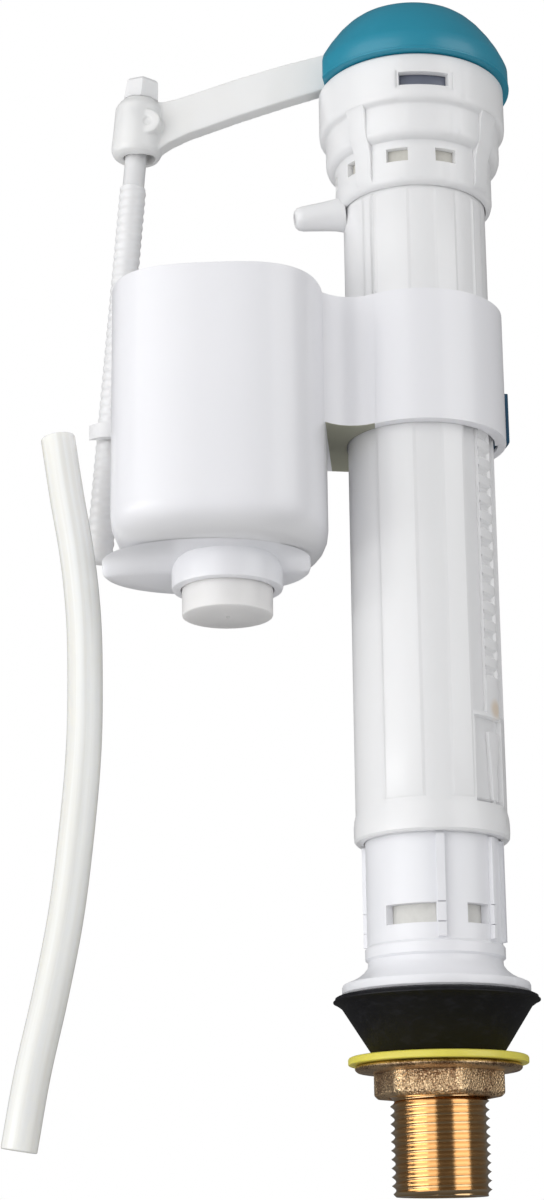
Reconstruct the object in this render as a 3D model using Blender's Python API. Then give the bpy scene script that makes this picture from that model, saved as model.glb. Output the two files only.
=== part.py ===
# Bottom-inlet toilet fill valve with a side float chamber and a loose refill hose.
# The origin is on the riser's centreline at the underside of the plastic base, where the valve
# sits on the floor of the cistern. +Z is up. An azimuth is counted in degrees from -Y toward +X.

import math

import bmesh
import bpy
from mathutils import Matrix, Vector

for old in list(bpy.data.objects):
    bpy.data.objects.remove(old, do_unlink=True)

MM = 0.001

ROUND_STEPS = 40               # facets round the large turned pieces

# Clearances
SEAT_GAP = 0.3 * MM            # between two pieces that rest on each other
SLIDE_GAP = 0.35 * MM          # between two pieces that slide in each other
ARM_PLAY = 0.5 * MM            # each side of the lever and of the adjusting rod

# Inlet shank, with its G1/2 thread left to the finish
SHANK_RADIUS = 20.955 / 2 * MM
SHANK_BORE = 7.0 * MM
SHANK_DROP = 41.8 * MM
SHANK_CHAMFER = 0.9 * MM
SHANK_HEAD_RADIUS = 12.3 * MM
SHANK_HEAD_THICKNESS = 2.0 * MM

# Base
BASE_FLANGE_RADIUS = 20.2 * MM
BASE_FLANGE_THICKNESS = 2.5 * MM
BASE_FLOOR_THICKNESS = 3.7 * MM
NECK_RADIUS = 14.2 * MM
NECK_HEIGHT = 4.7 * MM
SOCKET_RADIUS = 14.6 * MM
SOCKET_WALL = 2.0 * MM
SOCKET_BAND_RADIUS = 15.1 * MM
SOCKET_BAND_HEIGHT = 2.8 * MM
SOCKET_INSERT = 12.0 * MM      # how far the socket reaches up inside the riser
BASE_WINDOW_RISE = 3.7 * MM     # above the socket's band
BASE_WINDOW_HEIGHT = 4.2 * MM
BASE_WINDOWS = ((-44.0, 2.0), (29.0, 52.0))
BASE_RIBS = ((3.0, 10.0), (54.0, 59.0), (78.0, 83.0))
BASE_RIB_PROUD = 1.0 * MM

# Cone seal
SEAL_HEIGHT = 12.4 * MM
SEAL_TOP_RADIUS = 21.9 * MM
SEAL_LIP = 1.0 * MM
SEAL_BOTTOM_RADIUS = 13.6 * MM

# Friction washer and backnut
WASHER_RADIUS = 19.2 * MM
WASHER_THICKNESS = 1.6 * MM
NUT_ACROSS_FLATS = 24.8 * MM
NUT_HEX_HEIGHT = 4.0 * MM
NUT_FLARE_HEIGHT = 1.8 * MM
NUT_RIM_RADIUS = 17.8 * MM
NUT_RIM_HEIGHT = 0.9 * MM
NUT_CORNER_AZIMUTH = 21.1

# Riser tube
RISER_RADIUS = 16.55 * MM
RISER_WALL = 1.65 * MM
RISER_BOTTOM = 32.9 * MM
RISER_LENGTH = 157.8 * MM
FOOT_RING_RADIUS = 17.0 * MM
FOOT_RING_HEIGHT = 5.8 * MM
RACK_RISE = 26.4 * MM          # above the riser's foot
RACK_LENGTH = 90.0 * MM
CHANNEL_DEPTH = 0.85 * MM
RACK_CHANNEL = (35.0, 85.0)
CLIP_AZIMUTH = 105.0
CLIP_CHANNEL_SPAN = 29.0
TOOTH_AZIMUTHS = (54.5, 63.5)
TOOTH_PITCH = 4.2 * MM
TOOTH_GAP = 2.2 * MM
GUIDE_RIB_AZIMUTHS = (-110.0, -40.0, 61.0, 118.0, 180.0)
GUIDE_RIB_WIDTH = 2.4 * MM
GUIDE_RIB_PROUD = 0.8 * MM
GUIDE_RIB_LENGTH = 25.2 * MM    # down from the head's skirt
RELIEF_AZIMUTHS = (37.0, 72.0) # of the sunk panel below the rack
RELIEF_DEPTH = 1.1 * MM
RELIEF_RISE = 6.6 * MM         # of its lower edge above the riser's foot
RELIEF_LEDGE = 0.8 * MM        # left standing between it and the rack
WEDGE_AZIMUTHS = (52.0, 66.0)  # of the rib that stands in it
WEDGE_HEIGHT = 15.7 * MM

# Supply tube
SUPPLY_RADIUS = 8.0 * MM
SUPPLY_WALL = 1.6 * MM
SUPPLY_FOOT_THICKNESS = 2.0 * MM
SEAT_FLANGE_THICKNESS = 2.0 * MM
SEAT_RIM_HEIGHT = 4.8 * MM
OUTLET_RADIUS = 1.7 * MM
OUTLET_CIRCLE = 12.6 * MM
OUTLET_COUNT = 6

# Head
SKIRT_LAP = 8.8 * MM            # how far the skirt reaches down over the riser
SKIRT_RADIUS = 18.3 * MM
SKIRT_HEIGHT = 10.8 * MM
BELT_RADIUS = 20.4 * MM
BELT_HEIGHT = 8.5 * MM
CROWN_RADIUS = 21.9 * MM
CROWN_HEIGHT = 11.5 * MM
CROWN_WALL = 1.9 * MM
DECK_THICKNESS = 2.0 * MM
BELT_WALL = 2.0 * MM
SKIRT_WINDOW_PITCH = 36.0
SKIRT_WINDOW_PHASE = -11.0
SKIRT_WINDOW_SPAN = 16.0
SKIRT_WINDOW_RISE = 5.5 * MM    # above the skirt's lower edge
SKIRT_WINDOW_HEIGHT = 3.3 * MM
CROWN_WINDOW_AZIMUTH = 8.5
CROWN_WINDOW_SPAN = 31.0
CROWN_WINDOW_RISE = 3.5 * MM    # above the belt
CROWN_WINDOW_HEIGHT = 3.3 * MM
HEAD_RIBS = ((-43.0, -33.0), (50.0, 64.0))
HEAD_RIB_PROUD = 0.8 * MM

# Refill nozzle
NOZZLE_AZIMUTH = -80.0
NOZZLE_DROP = 0.3 * MM          # of its root's axis below the skirt's lower edge
NOZZLE_REACH = 27.6 * MM
NOZZLE_DROOP = 16.0
NOZZLE_ROOT_RADIUS = 3.5 * MM
NOZZLE_TIP_RADIUS = 2.8 * MM
NOZZLE_BORE = 1.3 * MM

# Diaphragm and pilot plate
DIAPHRAGM_THICKNESS = 1.4 * MM
DIAPHRAGM_HOLE = 1.5 * MM
PLATE_THICKNESS = 2.0 * MM
PLATE_RIM_HEIGHT = 3.6 * MM
PLATE_RIM_WALL = 1.6 * MM
PILOT_RADIUS = 3.0 * MM
PILOT_BORE = 0.8 * MM
CHEEK_THICKNESS = 2.0 * MM
CHEEK_WIDTH = 8.0 * MM

# Cap
CAP_RIM_RADIUS = 23.3 * MM
CAP_RIM_HEIGHT = 5.5 * MM
CAP_TOP_RADIUS = 13.6 * MM
CAP_HEIGHT = 19.2 * MM
CAP_DOME = 1.4 * MM
CAP_BULGE = 1.2 * MM           # of its sloping side
CAP_WALL = 1.8 * MM
CAP_SPIGOT_WALL = 1.5 * MM
CAP_FLAT = 19.4 * MM           # distance of the flat that the lever comes out of
CAP_FLAT_WIDTH = 27.0 * MM

# Lever, in its own upright plane through the riser's centreline
LEVER_AZIMUTH = -95.2
LEVER_THICKNESS = 4.0 * MM
PIVOT_REACH = 10.0 * MM
PIVOT_RISE = 15.4 * MM          # of the lever's pin above the pilot plate
PIVOT_PIN_RADIUS = 1.25 * MM
PIVOT_BOSS_RADIUS = 4.2 * MM
LEVER_DEPTH = 9.0 * MM         # of the bar, top to bottom
LEVER_ROOT_RISE = 5.0 * MM      # of the bar's top edge above the pin, where it leaves the cap
LEVER_TIP_DROP = 3.7 * MM       # of that edge below the pin, where it meets the eye
LEVER_SWING = 9.8
PAD_RADIUS = 2.0 * MM
PAD_HEIGHT = 2.4 * MM

# Lever eye, its swivel and the adjusting rod, which leans out toward its foot
EYE_SETBACK = 2.5 * MM          # of the eye's centre from the chamber's outermost side
EYE_DROP = 8.0 * MM             # of the eye's centre below the pin
EYE_RADIUS = 6.0 * MM
EYE_SKIRT = 10.2 * MM
EYE_BORE = 4.4 * MM
EYE_MOUTH = 4.9 * MM
EYE_BOSS_RADIUS = 3.7 * MM
EYE_BOSS_PROUD = 0.3 * MM
ROD_LEAN = 4.6
ROD_RADIUS = 3.2 * MM
ROD_NECK_RADIUS = 2.6 * MM
ROD_NECK_DROP = 18.0 * MM
ROD_FOOT = 112.0 * MM          # length of the rod below the eye's centre
KNOB_ACROSS = 8.2 * MM
KNOB_TOP_ACROSS = 6.8 * MM
KNOB_HEIGHT = 5.6 * MM
SWIVEL_WALL = 0.9 * MM
SWIVEL_HEIGHT = 4.6 * MM
TRUNNION_RADIUS = 0.9 * MM

# Float chamber and its collar
CHAMBER_X = -44.8 * MM
CHAMBER_Y = -12.9 * MM
CHAMBER_HALF_X = 23.8 * MM
CHAMBER_HALF_Y = 24.8 * MM
CHAMBER_SQUARENESS = 3.0
CHAMBER_WALL = 1.7 * MM
CHAMBER_FLOOR = 2.0 * MM
CHAMBER_HEIGHT = 60.6 * MM
CHAMBER_EDGE = 3.2 * MM
COLLAR_WALL = 1.95 * MM
COLLAR_HEIGHT = 31.0 * MM
BRIDGE_BACK = 14.6 * MM
BRIDGE_FRONT = -18.0 * MM
CHAMBER_STOP_GAP = 1.1 * MM     # below the riser's guide ribs
CHAMBER_TRAVEL = 60.0 * MM

# Lock clip
CLIP_SPAN = 18.0
CLIP_HEIGHT = 12.0 * MM
CLIP_INSET = 1.2 * MM           # above the collar's lower edge
CLIP_PROUD = 1.95 * MM
CLIP_LIP = 0.5 * MM
CLIP_LIP_SPAN = 24.0
CLIP_LIP_REACH = 1.0 * MM      # how far the lip reaches past the button, top and bottom
CLIP_TRAVEL = 1.0 * MM
CLIP_GROOVES = 4
CLIP_GROOVE_WIDTH = 0.9 * MM
CLIP_GROOVE_DEPTH = 0.4 * MM

# Drain
DRAIN_X = -43.3 * MM
DRAIN_Y = -13.0 * MM
DRAIN_PLATE_X = -47.3 * MM
DRAIN_PLATE_HALF_X = 22.4 * MM
DRAIN_PLATE_HALF_Y = 20.5 * MM
DRAIN_PLATE_FRONT = 12.0 * MM  # how far its top reaches forward of the drain's middle
DRAIN_PLATE_SLOPE = 8.0 * MM   # how far its front runs back on the way down
DRAIN_PLATE_THICKNESS = 3.4 * MM
DRAIN_RING_RADIUS = 12.3 * MM
DRAIN_RING_DROP = 6.7 * MM
CUP_RADIUS = 10.0 * MM
CUP_WALL = 1.2 * MM
CUP_DROP = 13.0 * MM           # below the chamber's underside
CUP_FLANGE = 1.8 * MM
CUP_FLANGE_THICKNESS = 1.0 * MM
CUP_HOLE = 1.5 * MM
CUP_LIFT = 3.0 * MM

# Float and the arm that carries the rod
FLOAT_PLAY = 1.2 * MM
FLOAT_HEIGHT = 28.0 * MM
FLOAT_WALL = 1.3 * MM
FLOAT_ARM_THICKNESS = 3.6 * MM
FLOAT_ARM_WIDTH = 6.0 * MM
FLOAT_HUB_RADIUS = 9.0 * MM
FORK_WALL = 1.9 * MM

# Loose refill hose
HOSE_RADIUS = 3.9 * MM
HOSE_Y = -8.0 * MM
HOSE_ROUTE = (
    (-82.3, 126.6), (-80.0, 112.3), (-77.5, 98.3), (-75.9, 84.0), (-75.4, 69.5),
    (-75.5, 54.5), (-76.6, 38.5), (-78.8, 18.5), (-82.0, 0.8), (-85.6, -15.9), (-88.2, -31.7))

# Places that follow from the sizes above
BORE_GAP = SEAT_GAP
SHANK_HOLE = SHANK_RADIUS + BORE_GAP
SOCKET_BORE = SOCKET_RADIUS - SOCKET_WALL
SHANK_HEAD_BOTTOM = BASE_FLOOR_THICKNESS + SEAT_GAP
SUPPLY_BOTTOM = SHANK_HEAD_BOTTOM + SHANK_HEAD_THICKNESS + SEAT_GAP
RISER_BORE = RISER_RADIUS - RISER_WALL
RISER_TOP = RISER_BOTTOM + RISER_LENGTH
SOCKET_SHOULDER = RISER_BOTTOM - SEAT_GAP
RACK_BOTTOM = RISER_BOTTOM + RACK_RISE
SEAL_TOP = -SEAT_GAP
SEAL_BOTTOM = SEAL_TOP - SEAL_HEIGHT
WASHER_TOP = SEAL_BOTTOM - SEAT_GAP
NUT_TOP = WASHER_TOP - WASHER_THICKNESS - SEAT_GAP
SKIRT_BORE = RISER_RADIUS + SEAT_GAP
SKIRT_BOTTOM = RISER_TOP - SKIRT_LAP
NOZZLE_HEIGHT = SKIRT_BOTTOM - NOZZLE_DROP
SKIRT_WINDOW_BOTTOM = SKIRT_BOTTOM + SKIRT_WINDOW_RISE
DECK_BOTTOM = RISER_TOP + SEAT_GAP
DECK_TOP = DECK_BOTTOM + DECK_THICKNESS
SKIRT_TOP = SKIRT_BOTTOM + SKIRT_HEIGHT
BELT_TOP = SKIRT_TOP + BELT_HEIGHT
CROWN_TOP = BELT_TOP + CROWN_HEIGHT
CROWN_WINDOW_BOTTOM = BELT_TOP + CROWN_WINDOW_RISE
BELT_BORE = BELT_RADIUS - BELT_WALL
CROWN_BORE = CROWN_RADIUS - CROWN_WALL
SEAT_FLANGE_BOTTOM = DECK_TOP + SEAT_GAP
SEAT_FLANGE_TOP = SEAT_FLANGE_BOTTOM + SEAT_FLANGE_THICKNESS
DIAPHRAGM_BOTTOM = BELT_TOP + SEAT_GAP
DIAPHRAGM_TOP = DIAPHRAGM_BOTTOM + DIAPHRAGM_THICKNESS
SEAT_RIM_TOP = min(SEAT_FLANGE_TOP + SEAT_RIM_HEIGHT, DIAPHRAGM_BOTTOM - SEAT_GAP)
PLATE_BOTTOM = DIAPHRAGM_TOP + SEAT_GAP
PLATE_TOP = PLATE_BOTTOM + PLATE_THICKNESS
PLATE_RIM_TOP = PLATE_BOTTOM + PLATE_THICKNESS + PLATE_RIM_HEIGHT
INSERT_RADIUS = CROWN_BORE - SEAT_GAP
CAP_BOTTOM = CROWN_TOP + SEAT_GAP
CAP_TOP = CAP_BOTTOM + CAP_HEIGHT
GUIDE_RIB_TOP = SKIRT_BOTTOM - SEAT_GAP
GUIDE_RIB_BOTTOM = GUIDE_RIB_TOP - GUIDE_RIB_LENGTH
COLLAR_BORE = RISER_RADIUS + SLIDE_GAP
COLLAR_RADIUS = COLLAR_BORE + COLLAR_WALL
CHAMBER_TOP = GUIDE_RIB_BOTTOM - CHAMBER_STOP_GAP
CHAMBER_BOTTOM = CHAMBER_TOP - CHAMBER_HEIGHT
COLLAR_BOTTOM = CHAMBER_TOP - COLLAR_HEIGHT
CLIP_BOTTOM = COLLAR_BOTTOM + CLIP_INSET
CHAMBER_CAVITY_FLOOR = CHAMBER_BOTTOM + CHAMBER_FLOOR
CUP_HOLE_RADIUS = CUP_RADIUS + SLIDE_GAP
CUP_FLANGE_BOTTOM = CHAMBER_CAVITY_FLOOR + SEAT_GAP
CUP_FLANGE_TOP = CUP_FLANGE_BOTTOM + CUP_FLANGE_THICKNESS
FLOAT_BOTTOM = CUP_FLANGE_TOP + CUP_LIFT + 2 * SEAT_GAP
FLOAT_TOP = FLOAT_BOTTOM + FLOAT_HEIGHT
ARM_BOTTOM = FLOAT_TOP + SEAT_GAP
ARM_TOP = ARM_BOTTOM + FLOAT_ARM_THICKNESS
PIVOT_HEIGHT = PLATE_TOP + PIVOT_RISE
LEVER_ROOT_TOP = PIVOT_HEIGHT + LEVER_ROOT_RISE
LEVER_TIP_TOP = PIVOT_HEIGHT - LEVER_TIP_DROP
EYE_HEIGHT = PIVOT_HEIGHT - EYE_DROP
EYE_REACH = CHAMBER_HALF_X - CHAMBER_X - EYE_SETBACK
KNOB_BOTTOM = EYE_RADIUS + SEAT_GAP
PAD_TOP = PIVOT_HEIGHT - 3.2 * MM
PAD_BOTTOM = PAD_TOP - PAD_HEIGHT - SEAT_GAP
PILOT_TOP = PAD_BOTTOM - SEAT_GAP - (PIVOT_REACH + PAD_RADIUS) * math.sin(
    math.radians(LEVER_SWING))
LEVER_TURN = Matrix.Rotation(math.radians(LEVER_AZIMUTH - 90), 4, "Z")


def from_azimuth(azimuth, radius=1.0, height=0.0):
    """The point at an azimuth, a distance from the centreline and a height."""
    angle = math.radians(azimuth)
    return Vector((radius * math.sin(angle), -radius * math.cos(angle), height))


def in_lever_plane(reach, height, aside=0.0):
    """The point of the lever's plane at a reach and a height, or aside of it."""
    return LEVER_TURN @ Vector((reach, aside, height))


def finish_of(name, colour, roughness, metallic=0.0, clear=1.0):
    material = bpy.data.materials.new(name)
    material.use_nodes = True
    shader = material.node_tree.nodes["Principled BSDF"]
    shader.inputs["Base Color"].default_value = (*colour, 1)
    shader.inputs["Roughness"].default_value = roughness
    shader.inputs["Metallic"].default_value = metallic
    shader.inputs["Alpha"].default_value = clear
    material.diffuse_color = (*colour, 1)
    return material


def put(name, bm, material, place=None, parent=None, sharp=35):
    """Turn a bmesh into a smooth shaded object with its origin at a place."""
    bmesh.ops.recalc_face_normals(bm, faces=bm.faces)
    place = place or Matrix()
    bm.transform(place.inverted())
    mesh = bpy.data.meshes.new(name)
    bm.to_mesh(mesh)
    bm.free()
    mesh.shade_smooth()
    mesh.set_sharp_from_angle(angle=math.radians(sharp))
    piece = bpy.data.objects.new(name, mesh)
    bpy.context.collection.objects.link(piece)
    piece.matrix_world = place
    if parent:
        piece.parent = parent
        piece.matrix_parent_inverse = parent.matrix_world.inverted()
    if material:
        mesh.materials.append(material)
    return piece


def shape_with(piece, operation, name, bm, place=None):
    """Cut a piece with a hidden tool shape, or join the shape to it."""
    tool = put(name, bm, None, place)
    tool.hide_render = True
    tool.display_type = "WIRE"
    change = piece.modifiers.new(name, "BOOLEAN")
    change.operation = operation
    change.solver = "EXACT"
    change.object = tool
    return tool


def skin_rings(bm, rings, hollow):
    """Join rings of points with quads; a hollow body closes on itself, a solid one has end caps."""
    loops = [[bm.verts.new(point) for point in ring] for ring in rings]
    pairs = list(zip(loops, loops[1:]))
    if hollow:
        pairs.append((loops[-1], loops[0]))
    else:
        bm.faces.new(loops[0])
        bm.faces.new(loops[-1])
    for low, high in pairs:
        count = len(low)
        for i in range(count):
            j = (i + 1) % count
            bm.faces.new((low[i], low[j], high[j], high[i]))
    return bm


def turned(profile, steps, hollow=True, place=None, phase=0.0):
    """A turned body from (radius, height) points; a solid one starts and ends on two flat ends."""
    bm = bmesh.new()
    rings = [
        [from_azimuth(phase + 360 * i / steps, radius, height) for i in range(steps)]
        for radius, height in profile]
    skin_rings(bm, rings, hollow)
    if place:
        bm.transform(place)
    return bm


def rod_between(start, end, radius, steps, end_radius=None):
    """A round bar, or a cone, from one point to another."""
    start, end = Vector(start), Vector(end)
    along = end - start
    place = Matrix.Translation(start) @ along.to_track_quat("Z", "Y").to_matrix().to_4x4()
    return turned(((radius, 0), (end_radius or radius, along.length)), steps, False, place)


def sector(radii, azimuths, heights, steps, bm=None):
    """A curved block between two radii, two azimuths and two heights."""
    bm = bm or bmesh.new()
    rings = []
    for i in range(steps + 1):
        azimuth = azimuths[0] + (azimuths[1] - azimuths[0]) * i / steps
        rings.append([from_azimuth(azimuth, radii[a], heights[b])
                      for a, b in ((0, 0), (1, 0), (1, 1), (0, 1))])
    return skin_rings(bm, rings, False)


def box(low, high, place=None):
    bm = bmesh.new()
    bmesh.ops.create_cube(bm, size=1)
    low, high = Vector(low), Vector(high)
    bmesh.ops.scale(bm, vec=high - low, verts=bm.verts)
    bmesh.ops.translate(bm, vec=(low + high) / 2, verts=bm.verts)
    if place:
        bm.transform(place)
    return bm


def plate(outline, bottom, top, place=None):
    """A flat body with an outline in X and Y between two heights."""
    bm = bmesh.new()
    skin_rings(bm, [[Vector((x, y, z)) for x, y in outline] for z in (bottom, top)], False)
    if place:
        bm.transform(place)
    return bm


def rounded_square(half_x, half_y, squareness, steps, centre=(0.0, 0.0)):
    """An outline between an oval and a rectangle, as a blown or moulded cup has."""
    points = []
    for i in range(steps):
        angle = 2 * math.pi * i / steps
        c, s = math.cos(angle), math.sin(angle)
        size = (abs(c) ** squareness + abs(s) ** squareness) ** (-1 / squareness)
        points.append((centre[0] + half_x * size * c, centre[1] + half_y * size * s))
    return points


def hexagon_radius(azimuth, across_flats, corner_azimuth):
    """Distance from the middle to a hexagon's side at an azimuth."""
    turn = math.radians((azimuth - corner_azimuth) % 60 - 30)
    return across_flats / 2 / math.cos(turn)


# Finishes
warm_white = finish_of("warm white plastic", (0.86, 0.85, 0.81), 0.35)
cool_white = finish_of("glossy white plastic", (0.86, 0.87, 0.89), 0.22)
teal = finish_of("teal plastic", (0.02, 0.24, 0.33), 0.35)
rubber = finish_of("black rubber", (0.02, 0.02, 0.02), 0.6)
grey_rubber = finish_of("grey rubber", (0.25, 0.25, 0.25), 0.55)
lemon = finish_of("yellow washer plastic", (0.80, 0.74, 0.12), 0.4)
cast_brass = finish_of("cast brass", (0.42, 0.30, 0.16), 0.5, 1.0)
turned_brass = finish_of("turned brass", (0.74, 0.55, 0.24), 0.25, 1.0)
milky = finish_of("milky hose plastic", (0.80, 0.80, 0.75), 0.3)

# Inlet shank: a brass tube with a head that the base is moulded over.
shank = put("inlet_shank", turned((
    (SHANK_BORE, -SHANK_DROP),
    (SHANK_RADIUS - SHANK_CHAMFER, -SHANK_DROP),
    (SHANK_RADIUS, -SHANK_DROP + SHANK_CHAMFER),
    (SHANK_RADIUS, SHANK_HEAD_BOTTOM),
    (SHANK_HEAD_RADIUS, SHANK_HEAD_BOTTOM),
    (SHANK_HEAD_RADIUS, SHANK_HEAD_BOTTOM + SHANK_HEAD_THICKNESS),
    (SHANK_BORE, SHANK_HEAD_BOTTOM + SHANK_HEAD_THICKNESS),
), ROUND_STEPS), turned_brass)

# Inlet filter: a closed-ended sleeve with slots, pushed up into the shank.
filter_radius = SHANK_BORE - BORE_GAP
filter_wall = 1.0 * MM
filter_bottom = -SHANK_DROP + 2.0 * MM
filter_length = 15.0 * MM
inlet_filter = put("inlet_filter", turned((
    (filter_radius, filter_bottom),
    (filter_radius, filter_bottom + filter_length),
    (0.3 * filter_radius, filter_bottom + filter_length),
    (0.3 * filter_radius, filter_bottom + filter_length - filter_wall),
    (filter_radius - filter_wall, filter_bottom + filter_length - filter_wall),
    (filter_radius - filter_wall, filter_bottom),
), 24), milky)

# Base: flange, neck and a windowed socket that stands inside the riser's foot.
neck_top = BASE_FLANGE_THICKNESS + NECK_HEIGHT
band_top = neck_top + SOCKET_BAND_HEIGHT
base = put("base_body", turned((
    (SHANK_HOLE, 0),
    (BASE_FLANGE_RADIUS - 0.4 * MM, 0),
    (BASE_FLANGE_RADIUS, 0.5 * MM),
    (BASE_FLANGE_RADIUS, BASE_FLANGE_THICKNESS - 0.6 * MM),
    (BASE_FLANGE_RADIUS - 0.8 * MM, BASE_FLANGE_THICKNESS),
    (NECK_RADIUS, BASE_FLANGE_THICKNESS),
    (NECK_RADIUS, neck_top),
    (SOCKET_BAND_RADIUS, neck_top),
    (SOCKET_BAND_RADIUS, band_top),
    (SOCKET_RADIUS, band_top),
    (SOCKET_RADIUS, SOCKET_SHOULDER + SOCKET_INSERT),
    (SOCKET_BORE, SOCKET_SHOULDER + SOCKET_INSERT),
    (SOCKET_BORE, BASE_FLOOR_THICKNESS),
    (SHANK_HOLE, BASE_FLOOR_THICKNESS),
), ROUND_STEPS), cool_white)
ribs = bmesh.new()
for turn in (0, 180):
    for first, last in BASE_RIBS:
        sector((SOCKET_RADIUS - 0.5 * SOCKET_WALL, SOCKET_RADIUS + BASE_RIB_PROUD),
               (first + turn, last + turn), (band_top - 0.5 * MM, SOCKET_SHOULDER), 1, ribs)
shape_with(base, "UNION", "base_rib_shapes", ribs)
window_bottom = band_top + BASE_WINDOW_RISE
windows = bmesh.new()
for turn in (0, 180):
    for first, last in BASE_WINDOWS:
        sector((SOCKET_BORE - 1 * MM, SOCKET_RADIUS + 1 * MM + BASE_RIB_PROUD),
               (first + turn, last + turn),
               (window_bottom, window_bottom + BASE_WINDOW_HEIGHT), 5, windows)
shape_with(base, "DIFFERENCE", "base_window_shapes", windows)

# Cone seal: a tapered rubber that the backnut draws up against the cistern.
put("cone_seal", turned((
    (SHANK_HOLE, SEAL_BOTTOM),
    (SEAL_BOTTOM_RADIUS, SEAL_BOTTOM),
    (SEAL_BOTTOM_RADIUS + 0.5 * MM, SEAL_BOTTOM + 0.4 * MM),
    (SEAL_TOP_RADIUS - 1.4 * MM, SEAL_TOP - SEAL_LIP - 1.0 * MM),
    (SEAL_TOP_RADIUS, SEAL_TOP - SEAL_LIP),
    (SEAL_TOP_RADIUS, SEAL_TOP - 0.3 * SEAL_LIP),
    (SEAL_TOP_RADIUS - 0.4 * MM, SEAL_TOP),
    (SHANK_HOLE, SEAL_TOP),
), ROUND_STEPS), rubber)

# Backnut and friction washer: the washer rides on the nut, and the nut turns on the shank.
nut_bottom = NUT_TOP - NUT_RIM_HEIGHT - NUT_FLARE_HEIGHT - NUT_HEX_HEIGHT
nut_bore = SHANK_RADIUS + SLIDE_GAP
washer_seat = bpy.data.objects.new("washer_travel", None)
bpy.context.collection.objects.link(washer_seat)
washer_seat.matrix_world = Matrix.Translation((0, 0, NUT_TOP))
bpy.context.view_layer.update()
put("friction_washer", turned((
    (nut_bore, WASHER_TOP - WASHER_THICKNESS),
    (WASHER_RADIUS - 0.3 * MM, WASHER_TOP - WASHER_THICKNESS),
    (WASHER_RADIUS, WASHER_TOP - 0.7 * WASHER_THICKNESS),
    (WASHER_RADIUS, WASHER_TOP - 0.2 * WASHER_THICKNESS),
    (WASHER_RADIUS - 0.4 * MM, WASHER_TOP),
    (nut_bore, WASHER_TOP),
), ROUND_STEPS), lemon, Matrix.Translation((0, 0, NUT_TOP)), washer_seat)


def nut_ring(radius_at, height):
    return [from_azimuth(azimuth, radius_at(azimuth), height)
            for azimuth in (NUT_CORNER_AZIMUTH + 7.5 * i for i in range(48))]


def hexagon_within(limit):
    """The nut's hexagon with its corners turned off at a radius."""
    return lambda azimuth: min(
        limit, hexagon_radius(azimuth, NUT_ACROSS_FLATS, NUT_CORNER_AZIMUTH))


def circle_of(radius):
    return lambda azimuth: radius


nut = bmesh.new()
skin_rings(nut, [
    nut_ring(circle_of(nut_bore), nut_bottom),
    nut_ring(hexagon_within(NUT_ACROSS_FLATS / 2 - 0.1 * MM), nut_bottom),
    nut_ring(hexagon_within(NUT_ACROSS_FLATS), nut_bottom + 0.9 * MM),
    nut_ring(hexagon_within(NUT_ACROSS_FLATS), nut_bottom + NUT_HEX_HEIGHT),
    nut_ring(circle_of(NUT_RIM_RADIUS), NUT_TOP - NUT_RIM_HEIGHT),
    nut_ring(circle_of(NUT_RIM_RADIUS), NUT_TOP),
    nut_ring(circle_of(nut_bore), NUT_TOP),
], True)
put("backnut", nut, cast_brass, Matrix.Translation((0, 0, nut_bottom)), washer_seat)

# Riser: one long tube with a foot ring, guide ribs and the rack that the chamber locks to.
riser = put("riser_tube", turned((
    (RISER_BORE, RISER_BOTTOM),
    (FOOT_RING_RADIUS, RISER_BOTTOM),
    (FOOT_RING_RADIUS, RISER_BOTTOM + FOOT_RING_HEIGHT),
    (RISER_RADIUS, RISER_BOTTOM + FOOT_RING_HEIGHT),
    (RISER_RADIUS, RISER_TOP - 0.6 * MM),
    (RISER_RADIUS - 0.5 * MM, RISER_TOP),
    (RISER_BORE, RISER_TOP),
), ROUND_STEPS), cool_white)
rack_top = RACK_BOTTOM + RACK_LENGTH
channel_floor = RISER_RADIUS - CHANNEL_DEPTH
channels = bmesh.new()
for first, last in ((RACK_CHANNEL[0], TOOTH_AZIMUTHS[0]), (TOOTH_AZIMUTHS[1], RACK_CHANNEL[1]),
                    (CLIP_AZIMUTH - CLIP_CHANNEL_SPAN / 2, CLIP_AZIMUTH + CLIP_CHANNEL_SPAN / 2)):
    sector((channel_floor, RISER_RADIUS + 1 * MM), (first, last), (RACK_BOTTOM, rack_top), 3,
           channels)
shape_with(riser, "DIFFERENCE", "rack_channel_shapes", channels)
tooth_gaps = bmesh.new()
height = RACK_BOTTOM + TOOTH_PITCH
while height + TOOTH_GAP < rack_top:
    sector((channel_floor + 0.1 * MM, RISER_RADIUS + 1 * MM),
           (TOOTH_AZIMUTHS[0] - 1, TOOTH_AZIMUTHS[1] + 1), (height, height + TOOTH_GAP), 1,
           tooth_gaps)
    height += TOOTH_PITCH
shape_with(riser, "DIFFERENCE", "rack_tooth_shapes", tooth_gaps)
relief_bottom = RISER_BOTTOM + RELIEF_RISE
relief_floor = RISER_RADIUS - RELIEF_DEPTH
shape_with(riser, "DIFFERENCE", "relief_shape",
           sector((relief_floor, RISER_RADIUS + 1 * MM), RELIEF_AZIMUTHS,
                  (relief_bottom, RACK_BOTTOM - RELIEF_LEDGE), 4))
shape_with(riser, "UNION", "wedge_rib_shape",
           sector((relief_floor - 0.2 * MM, RISER_RADIUS - 0.1 * MM), WEDGE_AZIMUTHS,
                  (relief_bottom - 0.5 * MM, relief_bottom + WEDGE_HEIGHT), 2))
guides = bmesh.new()
half_guide = math.degrees(GUIDE_RIB_WIDTH / RISER_RADIUS) / 2
for azimuth in GUIDE_RIB_AZIMUTHS:
    sector((RISER_RADIUS - 0.5 * RISER_WALL, RISER_RADIUS + GUIDE_RIB_PROUD),
           (azimuth - half_guide, azimuth + half_guide), (GUIDE_RIB_BOTTOM, GUIDE_RIB_TOP), 1, guides)
shape_with(riser, "UNION", "guide_rib_shapes", guides)

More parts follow.
